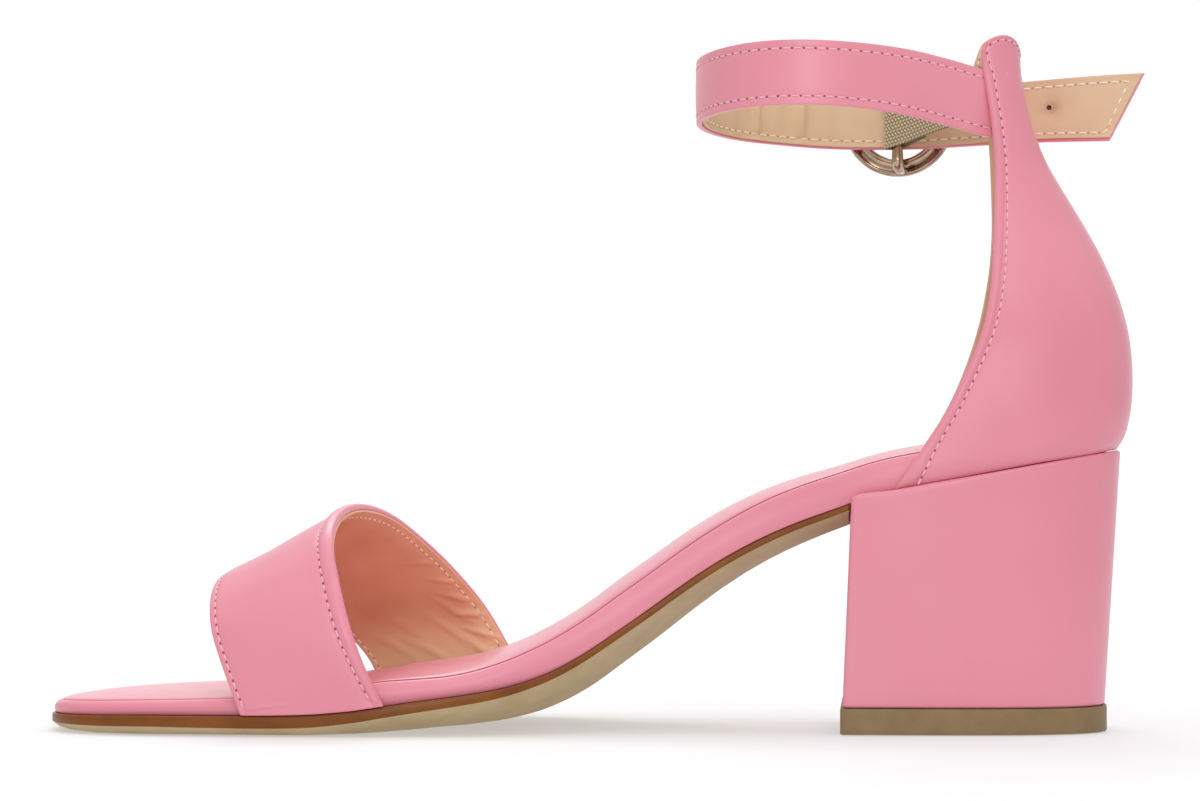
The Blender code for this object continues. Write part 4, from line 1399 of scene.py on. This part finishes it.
def counterGrid(edgeList, middle, topList, rising):
    # columns at set distances from the two front edges, rows at set distances from the top
    edgeList = np.array(edgeList)
    topList = np.array(topList)
    n = len(edgeList)
    count = 2 * n + middle
    share = np.linspace(0, 1, middle + 2)[1:-1]

    def columnsAt(z):
        medial = medialAt(z)
        lateral = lateralAt(z)
        wide = footWide(z)
        margin = edgeList[-1] * wide[n:-n]
        inner = margin - medial[n:-n] + (medial[n:-n] + lateral[n:-n] - 2 * margin) * share
        outer = lateral[-n:] - edgeList[::-1] * wide[-n:]
        return np.concatenate([edgeList * wide[:n] - medial[:n], inner, outer])

    low = np.full(count, counter["footLevel"])
    foot = counterFoot(counterTurn(columnsAt(low), low))
    top = counterTop(columnsAt(np.full(count, counter["topLevel"])))
    heights = [foot + (top - topList[0] - foot) * k / rising for k in range(rising)]
    heights += [top - down for down in topList]
    z = np.array(heights)
    x = np.stack([columnsAt(row) for row in z])
    places = counterAt(counterTurn(x, z), z)
    normals = awayFromMiddle(gridNormals(places), places)
    toEdge = counterHalf(x, z) - np.abs(x)
    # the foot is turned in under the edge
    turned = counter["footTurn"] * np.clip(1 - (z - foot) / counter["footTurnRun"], 0, 1) ** 2
    return places - normals * turned[..., None], normals, toEdge, top - z


def seamInset(z):
    # the row runs nearer the edge over the tabs
    nearer = counter["tabInset"] * smoothStep((z - counter["tabStart"]) / counter["tabRun"])
    return counter["stitch"] * footWide(z) - nearer


def nearestEdge(toEdge, toTop, blend=1.6):
    return -np.log(np.exp(-blend * toEdge) + np.exp(-blend * toTop)) / blend


seamSteps = (0.0, 0.7, 1.15, 1.45, 1.7, 1.88, 2.0, 2.12, 2.3, 2.6, 3.1, 3.9, 5.0, 6.3)
places, normals, toEdge, toTop = counterGrid(seamSteps, 66, seamSteps[::-1], 120)
inward = nearestEdge(toEdge, toTop)
seamAt = seamInset(places[..., 2])
relief = pucker(inward - seamAt, 0.34, counter["groove"])
relief += counter["roll"] * np.sin(np.clip(inward / seamAt, 0, 1) * math.pi)
relief *= smoothStep((places[..., 2] - places[:1, :, 2]) / counter["footRun"])
outer = places + normals * relief[..., None]
outer, hidden = turnOut(outer, normals, places - normals * counter["wall"])
heelCounterLeather = layGrid("heelCounterLeather", outer, pinkLeather)
thicken(heelCounterLeather, counter["wall"], counter["rounding"], hidden=hidden)
seat(heelCounterLeather, "pink_leather", "counter_and_ankle_strap")

liningSteps = (0.1, 0.7, 1.3, 1.7, 2.0, 2.3, 2.8, 3.6, 5.0, 6.3)
places, normals, _, _ = counterGrid(liningSteps, 60, liningSteps[::-1], 80)
inner = places - normals * (counter["wall"] + counter["liningGap"])
heelCounterLining = layGrid("heelCounterLining", turnOut(inner, normals)[0], liningLeather)
thicken(heelCounterLining, counter["liningWall"], counter["liningRounding"])
seat(heelCounterLining, "pink_leather")


def counterSeam(depth):
    # the row up the inner front edge, over the tabs and down the outer front edge
    z = np.linspace(54.5, 146.0, 400)
    share = np.linspace(-1, 1, 200)
    top = share * counterHalf(share, np.full(len(share), counter["topLevel"]))
    medial = np.stack([-medialAt(z), z], 1)
    lateral = np.stack([lateralAt(z), z], 1)
    crest = np.stack([top, counterTop(top)], 1)
    line = np.vstack([medial[:-4], crest[2:-2], lateral[::-1][4:]])
    line = softened(resampled(line, 1500), 1.2)
    ahead = np.gradient(line, axis=0)
    aside = np.stack([ahead[:, 1], -ahead[:, 0]], 1)
    aside /= np.linalg.norm(aside, axis=1)[:, None]
    line = resampled(line + aside * seamInset(line[:, 1])[:, None], 1200)
    x = line[:, 0]
    z = line[:, 1]
    spots = counterAt(counterTurn(x, z), z)
    around = counterAt(counterTurn(x + 0.4, z), z) - counterAt(counterTurn(x - 0.4, z), z)
    above = counterAt(counterTurn(x, z + 0.4), z + 0.4) - counterAt(counterTurn(x, z - 0.4), z - 0.4)
    out = np.cross(around, above)
    out = awayFromMiddle(out / np.linalg.norm(out, axis=1)[:, None], spots)
    return spots + out * depth, out * (1 if depth >= 0 else -1)


sew("heelCounter", [counterSeam(0.0)], counter["pitch"], stitch["onLeather"])
counterDepth = counter["wall"] + counter["liningWall"] + counter["liningGap"]
sew("heelCounterLining", [counterSeam(-counterDepth)], counter["pitch"], stitch["onLining"], True)
print("heel counter done")


# Ankle strap: from inside the inner tab, round the front, through the buckle to a slanted tip

strap = {
    "width": 13.85,
    "rootGain": 0.3,
    "rootEnd": (0.06, 0.16),
    "tailWidth": 15.0,
    "tailStart": 0.87,
    "slant": 7.4,
    "slantRun": 20.0,
    "outer": 1.0,
    "wall": 1.25,
    "rounding": 0.4,
    "liningWall": 0.72,
    "liningRounding": 0.2,
    "liningGap": 0.03,
    "liningRise": 0.25,
    "stitch": 1.85,
    "liningStitch": (0.1, 0.02),
    "pitch": 2.5,
    "groove": 0.15,
    "crown": 0.18,
    "buckleStation": 184.6,
    "holeStations": (190.0, 199.6, 209.3, 218.9),
    "holeRadius": 0.62,
    "holeRise": 0.6,
    "holeSkin": (0.45, 0.75),
    "punchReach": 4.0,
    "pinch": 0.4,
    "prongHole": (1.2, 1.05, 0.9),
}
strapRows = np.array((
    (208.4, -9.2, 135.5), (203.6, -10.0, 135.8), (196.0, -14.8, 137.45), (185.5, -23.5, 139.15),
    (174.5, -29.3, 140.1), (164.0, -31.2, 140.5), (154.6, -28.5, 140.4), (147.2, -20.7, 140.0),
    (142.6, -9.2, 139.7), (141.4, 2.0, 139.4), (143.4, 13.0, 138.9), (149.1, 23.5, 138.4),
    (158.2, 30.2, 137.9), (169.0, 32.6, 137.2), (180.0, 32.4, 136.9), (191.0, 30.0, 136.8),
    (202.0, 26.0, 137.0), (213.0, 22.0, 137.2), (225.0, 18.6, 137.5), (235.8, 15.9, 137.6),
))
strapLine = evenPath(strapRows, 2000, 1.2)
strapLength = arcOf(strapLine)[-1]


def strapAt(along, up, out):
    # along the strap, up from its middle line, out of the loop
    along, up, out = np.broadcast_arrays(along, up, out)
    share = along / strapLength
    ahead = onLine(strapLine, np.clip(share + 0.004, 0, 1)) - onLine(strapLine, np.clip(share - 0.004, 0, 1))
    ahead[..., 2] = 0
    ahead /= np.linalg.norm(ahead, axis=-1)[..., None]
    side = np.stack([-ahead[..., 1], ahead[..., 0], 0 * ahead[..., 0]], -1)
    slant = strap["slant"] * np.clip((along - strapLength + strap["slantRun"]) / strap["slantRun"], 0, 1)
    places = onLine(strapLine, np.clip(share, 0, 1)) + ahead * (slant * up / strap["width"])[..., None]
    places = places + side * out[..., None]
    places[..., 2] += up
    return places, side


def strapHalf(along):
    share = along / strapLength
    tail = (strap["tailWidth"] - strap["width"]) / 2 * smoothStep((share - strap["tailStart"]) / 0.13)
    start, run = strap["rootEnd"]
    return strap["width"] / 2 + tail + strap["rootGain"] * (1 - smoothStep((share - start) / run))


def strapColumns(along, distances, middle):
    # heights across the strap, set out from its two edges
    half = strapHalf(along)
    distances = np.array(distances)[None, :]
    middle = np.array(middle)[None, :] + 0 * along
    return np.concatenate([distances - half, middle, half - distances[:, ::-1]], 1)


strapEdges = (0.0, 0.6, 1.0, 1.4, 1.62, 1.76, 1.85, 1.94, 2.08, 2.3, 2.7, 3.3, 4.1, 5.2)
strapAlong = np.linspace(0, strapLength, 460)[:, None]
strapUp = strapColumns(strapAlong, strapEdges, (-0.8, 0.8))
pull = pulled(strapAlong, strap["pitch"])
fromEdge = strapHalf(strapAlong) - np.abs(strapUp)
relief = pucker(fromEdge - strap["stitch"], 0.3, strap["groove"]) * pull
relief = relief + strap["crown"] * (1 - (strapUp / strapHalf(strapAlong)) ** 2)
places, side = strapAt(strapAlong, strapUp, strap["outer"] + relief)
ankleStrapLeather = layGrid("ankleStrapLeather", turnOut(places, side)[0], strapLitPink)
thicken(ankleStrapLeather, strap["wall"], strap["rounding"])

# soft creases across the lining where the strap bends, in the same columns as the toe band's folds
strapFolds = (
    (0.545, 0.4, 11.0, 2.4, 0.45, 1.50),
    (0.583, -0.4, 13.0, 1.3, 1.0, 1.60),
    (0.612, 0.8, 10.0, 2.2, 0.30, 1.45),
    (0.640, 0.3, 13.0, 1.3, 1.0, 1.52),
    (0.668, -0.6, 11.0, 2.6, 0.45, 1.62),
    (0.912, 2.0, 5.0, 1.8, -0.25, 0.2),
    (0.928, -0.6, 4.0, 1.4, 0.16, -0.2),
)


def outerSideAt(station):
    # distance along the strap where its outer run passes a station
    arc = np.linspace(0, strapLength, len(strapLine))
    run = strapLine[:, 1] > 0
    return arc[np.argmin(np.where(run, np.abs(strapLine[:, 0] - station), 1e9))]


def holeRise(station):
    # the holes rise above the middle towards the tail
    return strap["holeRise"] * smoothStep((station - strap["holeStations"][0]) / 20)


liningEdges = (0.5, 0.9, 1.3, 1.6, 1.85, 2.1, 2.5, 3.2, 4.0, 4.8, 5.6)
liningAlong = np.linspace(0, strapLength - 0.25, 420)[:, None]
liningUp = strapColumns(liningAlong, liningEdges, (-0.9, 0.0, 0.9))
swell = foldHeight(liningAlong, liningUp, strapFolds, strapLength)
swell = (swell + 0.1) * (1 - bell(strapHalf(liningAlong) - np.abs(liningUp) - strap["stitch"], 0.5))
liningUp = liningUp + strap["liningRise"] * smoothStep((liningAlong / strapLength - 0.8) / 0.1)
holeDarkening = np.zeros(liningUp.shape)
for station in strap["holeStations"]:
    # the lining is drawn in round each hole, and coloured darker a little along and above it
    past = liningAlong - outerSideAt(station)
    swell = swell - strap["pinch"] * bell(np.hypot(past, liningUp), 1.3)
    holeDarkening += 0.55 * bell(np.hypot((past - 0.4) / 2.0, (liningUp - 0.6) / 1.3), 0.8)
liningFace = strap["outer"] - strap["wall"] - strap["liningGap"]
places, side = strapAt(liningAlong, liningUp, liningFace - swell)
places, holeDarkening = turnOut(places, side, np.clip(holeDarkening, 0, 1))
ankleStrapLining = layGrid("ankleStrapLining", places, liningLeather, {"seamShade": holeDarkening})
thicken(ankleStrapLining, strap["liningWall"], strap["liningRounding"])


def punch(along, up, long, high, low, top):
    # a round punch into the strap, from one depth to another
    spot, side = strapAt(np.array([along]), np.array([up]), np.array([0.0]))
    ahead = (side[0][1], -side[0][0], 0.0)
    depth = (top - low) * 0.001
    cutter = newShape(bpy.ops.mesh.primitive_cylinder_add, vertices=24, radius=0.001, depth=depth)
    stretch(cutter, (long, high, 1.0))
    cutter.data.transform(frameMatrix(spot[0], ahead, side[0], (low + top) / 2))
    return cutter


reach = strap["punchReach"]
prongBack, prongLong, prongHigh = strap["prongHole"]
prongAlong = outerSideAt(strap["buckleStation"]) - prongBack
for piece in (ankleStrapLeather, ankleStrapLining):
    punches = [punch(prongAlong, 0.0, prongLong, prongHigh, -reach, reach)]
    for station in strap["holeStations"]:
        # a thin skin is left in the middle of the leather
        for low, top in ((-reach, strap["holeSkin"][0]), (strap["holeSkin"][1], reach)):
            radius = strap["holeRadius"]
            punches.append(punch(outerSideAt(station), holeRise(station), radius, radius, low, top))
    holeCutter = joinAll("holeCutter", punches)
    # the cut faces take this finish, painted shade inside the holes
    holeCutter.data.materials.append(punchedHoleShade)
    cutAway(piece, holeCutter)
    bpy.data.objects.remove(holeCutter)
    pickOnly(piece)
    bpy.ops.object.shade_smooth_by_angle(angle=sharpAngle["shade"])
    seat(piece, "pink_leather")


def strapSeam(out):
    # lower row to the tip, across the slanted end, back along the upper row
    last = strapLength - strap["stitch"] * 1.1
    run = np.linspace(1.0, last, 700)
    edge = strapHalf(run) - strap["stitch"]
    low = np.stack([run, -edge], 1)
    high = np.stack([run[::-1], edge[::-1]], 1)
    across = np.stack([np.full(60, last), np.linspace(-edge[-1], edge[-1], 62)[1:-1]], 1)
    line = softened(resampled(np.vstack([low, across, high]), 2400), 0.5)
    spots, side = strapAt(line[:, 0], line[:, 1], out)
    return spots, side * (1 if out > 0 else -1)


crownAtSeam = strap["crown"] * (1 - (1 - 2 * strap["stitch"] / strap["width"]) ** 2)
sew("ankleStrap", [strapSeam(strap["outer"] + crownAtSeam)], strap["pitch"], stitch["onLeather"])
strapInside = liningFace - strap["liningWall"] - 0.02
sew("ankleStrapLining", [strapSeam(strapInside)], strap["pitch"], strap["liningStitch"], True)
print("ankle strap done")


# Buckle: cast ring with raised lips, centre bar on two legs, prong

buckle = {
    "outer": 12.95,
    "inner": 8.9,
    "thick": 2.0,
    "gap": 0.3,
    "bar": 1.2,
    "knuckle": 1.35,
    "legInset": 2.4,
    "barBack": 4.0,
    "barAhead": 1.0,
    "prong": 0.8,
    "eye": 1.52,
    "eyeWire": 0.34,
    "eyeHigh": 1.9,
}
buckleAlong = outerSideAt(strap["buckleStation"])
centreSpot, outSpot = strapAt(np.array([buckleAlong]), np.array([0.0]), np.array([0.0]))
buckleCentre = centreSpot[0]
buckleOut = outSpot[0]
buckleAhead = np.array((buckleOut[1], -buckleOut[0], 0.0))
upward = np.array((0.0, 0.0, 1.0))
ringMiddle = (buckle["outer"] + buckle["inner"]) / 2
ringHalf = (buckle["outer"] - buckle["inner"]) / 2
ringBack = strap["outer"] + buckle["gap"]

# section of the ring: across from its middle radius, height from its back face in shares of the thickness
ringProfile = (
    (-1.0, 0.30), (-1.0, 0.70), (-0.92, 0.88), (-0.78, 1.0), (-0.60, 1.0), (-0.48, 0.90), (-0.40, 0.80),
    (0.0, 0.77), (0.40, 0.80), (0.48, 0.90), (0.60, 1.0), (0.78, 1.0), (0.92, 0.88), (1.0, 0.70), (1.0, 0.30),
    (0.92, 0.12), (0.78, 0.0), (0.60, 0.0), (0.48, 0.10), (0.40, 0.20), (0.0, 0.23), (-0.40, 0.20),
    (-0.48, 0.10), (-0.60, 0.0), (-0.78, 0.0), (-0.92, 0.12),
)
castRing = newShape(bpy.ops.mesh.primitive_circle_add, vertices=len(ringProfile), radius=0.001)
for vertex, (across, deep) in zip(castRing.data.vertices, ringProfile):
    vertex.co = ((ringMiddle + ringHalf * across) * 0.001, 0.0, (ringBack + buckle["thick"] * deep) * 0.001)
bpy.ops.object.mode_set(mode="EDIT")
bpy.ops.mesh.select_all(action="SELECT")
bpy.ops.mesh.spin(steps=120, angle=2 * math.pi, center=(0, 0, 0), axis=(0, 0, 1))
bpy.ops.object.mode_set(mode="OBJECT")
castRing.data.materials.append(paleNickel)
castRing.data.transform(frameMatrix(buckleCentre, buckleAhead, buckleOut, 0.0))
closeMesh(castRing)


def rod(name, path, radii, finish, sides=20):
    # a round rod along a path, closed at both ends
    path = np.asarray(path, float)
    ahead = np.gradient(path, axis=0)
    ahead /= np.linalg.norm(ahead, axis=1)[:, None]
    rows = [np.repeat(path[:1], sides + 1, 0)]
    first = np.cross(ahead[0], (0.31, 0.22, 0.92))
    side = first / np.linalg.norm(first)
    for spot, run, radius in zip(path, ahead, radii):
        side = side - run * np.dot(side, run)
        side /= np.linalg.norm(side)
        other = np.cross(run, side)
        angle = np.linspace(0, 2 * math.pi, sides + 1)[:, None]
        rows.append(spot + radius * (np.cos(angle) * side + np.sin(angle) * other))
    rows.append(np.repeat(path[-1:], sides + 1, 0))
    return closeMesh(layGrid(name, np.stack(rows), finish))


def buckleSpot(ahead, up, out):
    return buckleCentre + buckleAhead * ahead + upward * up + buckleOut * out


legUp = buckle["inner"] + buckle["legInset"]
barOut = -buckle["barBack"]
legOut = ringBack + buckle["thick"] * 0.55
# up and out: down the upper leg, along the bar behind the strap, and back along the lower leg
upperLeg = [
    (legUp, legOut), (legUp, 0.0), (legUp, barOut + 1.6),
    (legUp - 0.45, barOut + 0.45), (legUp - 1.6, barOut),
]
lowerLeg = [(-up, out) for up, out in reversed(upperLeg)]
barRoute = upperLeg + [(4.0, barOut), (0.0, barOut), (-4.0, barOut)] + lowerLeg
barAhead = buckle["barAhead"]
barPath = evenPath([buckleSpot(barAhead, up, out) for up, out in barRoute], 120, 0.25)
legShare = np.abs(np.linspace(-1, 1, len(barPath)))
barRadii = buckle["bar"] + (buckle["knuckle"] - buckle["bar"]) * smoothStep((legShare - 0.38) / 0.2)
barRadii = barRadii * np.where(legShare > 0.97, 0.93, 1.0)
centreBar = rod("centreBar", barPath, barRadii, paleNickel)
buckleRing = joinAll("buckleRing", [castRing, centreBar])
seat(buckleRing, "metal", "buckle_frame")

prongRest = ringBack + buckle["thick"] + buckle["gap"] + buckle["prong"]
prongRoute = ((-0.9, barOut + 1.15), (-1.7, barOut + 2.4), (-2.4, barOut + 4.0), (-3.3, barOut + 6.0),
              (-5.2, prongRest - 0.7), (-7.6, prongRest - 0.1), (-10.0, prongRest), (-12.6, prongRest - 0.1))
prongPath = evenPath([buckleSpot(barAhead + ahead, 0.0, out) for ahead, out in prongRoute], 60, 0.3)
prongTaper = np.interp(np.linspace(0, 1, len(prongPath)), (0, 0.08, 0.8, 0.95, 1), (0.9, 1, 0.92, 0.8, 0.5))
prongRod = rod("prongRod", prongPath, buckle["prong"] * prongTaper, paleNickel, 16)
prongEye = newShape(bpy.ops.mesh.primitive_torus_add, major_radius=buckle["eye"] * 0.001,
                    minor_radius=buckle["eyeWire"] * 0.001, major_segments=40, minor_segments=14)
stretch(prongEye, (1, 1, buckle["eyeHigh"]))
prongEye.data.materials.append(paleNickel)
prongEye.data.transform(Matrix.Translation(Vector(toFrame(buckleSpot(barAhead, 0, barOut)))))
bpy.ops.object.shade_smooth()
bucklePin = joinAll("bucklePin", [prongEye, prongRod])
seat(bucklePin, "metal", "buckle_prong")
print("buckle done")


# Elastic: woven band sewn inside the outer tab, folded round the bar and back on itself

elastic = {
    "width": 12.2,
    "drop": 1.0,
    "thick": 0.62,
    "rounding": 0.08,
    "clear": 1.0,
    "loose": 1.5,
    "foldTurn": 75,
    "neck": 4.5,
    "return": 9.0,
    "slot": 1.15,
    "slotReach": (-3.0, 4.5),
    "rib": 0.8,
    "pick": 0.95,
    "lean": 0.55,
    "hem": 0.5,
    "relief": 0.13,
    "rows": 330,
    "columns": 84,
}
elasticRun = np.array((
    (207.2, 5.8, 139.6), (205.2, 6.9, 139.6), (202.0, 7.7, 139.6), (198.8, 10.3, 139.5), (194.0, 16.6, 138.9),
))
barSpot = buckleSpot(barAhead, 0.0, barOut)
foldRadius = buckle["bar"] + elastic["clear"]
towards = barSpot - elasticRun[-1]
towards[2] = 0
runLength = np.linalg.norm(towards)
towards = towards / runLength
sideways = np.array((-towards[1], towards[0], 0.0))
if np.dot(sideways, buckleOut) < 0:
    sideways = -sideways
elasticRoute = [elasticRun[-1] + towards * (runLength - elastic["neck"]) - sideways * 1.3]
for angle in np.radians(np.linspace(-elastic["foldTurn"], elastic["foldTurn"], 9)):
    loose = towards * (foldRadius + elastic["loose"]) * math.cos(angle)
    elasticRoute.append(barSpot + loose + sideways * foldRadius * math.sin(angle))
elasticRoute.append(barSpot - towards * elastic["neck"] + sideways * 1.1)
elasticRoute.append(barSpot - towards * elastic["return"] + sideways * 0.9)
foldLevel = barSpot[2] - elastic["drop"]
rise = elasticRun[-1][2] - foldLevel
for point in elasticRoute:
    point[2] = foldLevel + rise * max(0.0, np.dot(barSpot - point, towards)) / runLength
elasticPath = evenPath(np.vstack([elasticRun, elasticRoute]), elastic["rows"], 0.3)
elasticAlong = arcOf(elasticPath)[:, None]
elasticUp = np.linspace(-elastic["width"] / 2, elastic["width"] / 2, elastic["columns"])[None, :]
ahead = np.gradient(elasticPath, axis=0)
ahead[:, 2] = 0
ahead /= np.linalg.norm(ahead, axis=1)[:, None]
across = np.stack([-ahead[:, 1], ahead[:, 0], 0 * ahead[:, 0]], 1)
# ribs along the band, their yarns leaning one way and the other in turn
rib = (elasticUp + elastic["width"] / 2) / elastic["rib"]
ribAt = np.floor(rib)
inRib = rib - ribAt - 0.5
lean = np.where(ribAt % 2 == 0, elastic["lean"], -elastic["lean"])
yarn = np.cos(2 * math.pi * (elasticAlong / elastic["pick"] + lean * inRib + 0.5 * (ribAt % 2)))
weave = np.clip(np.cos(math.pi * inRib), 0, 1) ** 0.7 * (0.55 + 0.45 * yarn)
hem = np.clip((elastic["width"] / 2 - np.abs(elasticUp)) / elastic["hem"], 0, 1)
places = elasticPath[:, None, :] + across[:, None, :] * (elastic["relief"] * weave)[..., None]
places[..., 2] += elasticUp
sides = np.repeat(across[:, None, :], elastic["columns"], 1)
# the weave's heights, darker towards the band's edges, carry that painted shade and highlight into the finish
places, shade = turnOut(places, sides, weave * (0.5 + 0.5 * hem))
elasticWebbing = layGrid("elasticWebbing", places, wovenElastic, {"weave": shade})
# the slot that lets the prong's eye onto the bar
pickOnly(elasticWebbing)
bpy.ops.object.mode_set(mode="EDIT")
bpy.ops.mesh.select_all(action="DESELECT")
bpy.ops.object.mode_set(mode="OBJECT")
barPlace = Vector(toFrame(barSpot))
slotBack, slotFront = elastic["slotReach"]
for face in elasticWebbing.data.polygons:
    away = (face.center - barPlace) * 1000
    inSlot = abs(away.z) < elastic["slot"] and slotBack < away.dot(Vector(towards)) < slotFront
    face.select = inSlot and away.dot(Vector(sideways)) > 0.2
bpy.ops.object.mode_set(mode="EDIT")
bpy.ops.mesh.delete(type="FACE")
bpy.ops.object.mode_set(mode="OBJECT")
thicken(elasticWebbing, elastic["thick"], elastic["rounding"], 1)
seat(elasticWebbing, "elastic", "elastic_tab")
print("elastic done")


# Floor, light and camera

ground = {
    "radius": 0.75,
    "under": 0.0002,
    "glow": 0.40,
    "cloudSize": 400.0,
    "deep": tint(178, 178, 180),
    "light": tint(182, 182, 183),
}
floor = newShape(bpy.ops.mesh.primitive_circle_add, vertices=96, radius=ground["radius"], fill_type="NGON",
                 location=(0, 0, -ground["under"]))
floor.name = "studioFloor"
# a pale sheet lit a little from below, which keeps the shadows faint
floorFinish, floorTree, floorShader = newFinish("paleFloor", {
    "Roughness": 0.75,
    "Specular IOR Level": 0.2,
    "Emission Color": (1.0, 1.0, 1.0, 1.0),
    "Emission Strength": ground["glow"],
})
floorCloud = noiseNode(floorTree, onPiece(floorTree), ground["cloudSize"], 2.0)
floorTree.links.new(twoTone(floorTree, floorCloud, ground), floorShader.inputs["Base Color"])
floor.data.materials.append(floorFinish)

studio = {
    # axis, where the brighter part starts and is full, the light before and after
    "sky": (("Z", 0.3, 0.95, 0.56, 1.3), ("Y", 0.6, 0.93, 0.0, 1.06)),
    # name, place, aim, size, watts
    "lamps": (
        ("highSoftbox", (0.20, -0.95, 1.30), (0.0, 0.0, 0.07), 0.40, 2.0),
        ("lowSoftbox", (0.15, -1.60, 0.42), (0.0, 0.0, 0.10), 0.70, 5.0),
        ("backSoftbox", (-0.10, 0.90, 1.15), (0.0, 0.0, 0.05), 0.60, 4.5),
    ),
}
world = bpy.data.worlds.new("studioWhite")
world.use_nodes = True
sky = world.node_tree
sky.nodes["Background"].inputs["Color"].default_value = (1, 1, 1, 1)
# a white ceiling and bright paper behind the shoe, a dimmer room on the other sides
skyPlace = addNode(sky, "TexCoord")
skyAxis = addNode(sky, "SeparateXYZ", None, Vector=skyPlace.outputs["Generated"])
skyParts = []
for axis, start, full, low, high in studio["sky"]:
    fade = {"From Min": start, "From Max": full, "To Min": low, "To Max": high}
    fade["interpolation_type"] = "SMOOTHSTEP"
    skyParts.append(addNode(sky, "MapRange", fade, Value=skyAxis.outputs[axis]).outputs["Result"])
brighter = addNode(sky, "Math", {"operation": "MAXIMUM"})
for skyAt, skyPart in enumerate(skyParts):
    sky.links.new(skyPart, brighter.inputs[skyAt])
sky.links.new(brighter.outputs["Value"], sky.nodes["Background"].inputs["Strength"])
scene.world = world


def aimed(place, aim):
    return (Vector(aim) - Vector(place)).to_track_quat("-Z", "Y").to_euler()


for lampName, lampPlace, lampAim, lampSize, lampWatts in studio["lamps"]:
    lampData = bpy.data.lights.new(lampName, "AREA")
    lampData.shape = "SQUARE"
    lampData.size = lampSize
    lampData.energy = lampWatts
    lamp = bpy.data.objects.new(lampName, lampData)
    lamp.location = lampPlace
    lamp.rotation_euler = aimed(lampPlace, lampAim)
    scene.collection.objects.link(lamp)

view = {"place": (0.06165, -0.80118, 0.0500), "aim": (-0.00035, -0.00118, 0.0718), "lens": 108.96}
cameraData = bpy.data.cameras.new("photoCamera")
cameraData.sensor_width = 36.0
cameraData.lens = view["lens"]
cameraData.clip_start = 0.01
camera = bpy.data.objects.new("photoCamera", cameraData)
camera.location = view["place"]
camera.rotation_euler = aimed(view["place"], view["aim"])
scene.collection.objects.link(camera)
scene.camera = camera

print("scene ready")
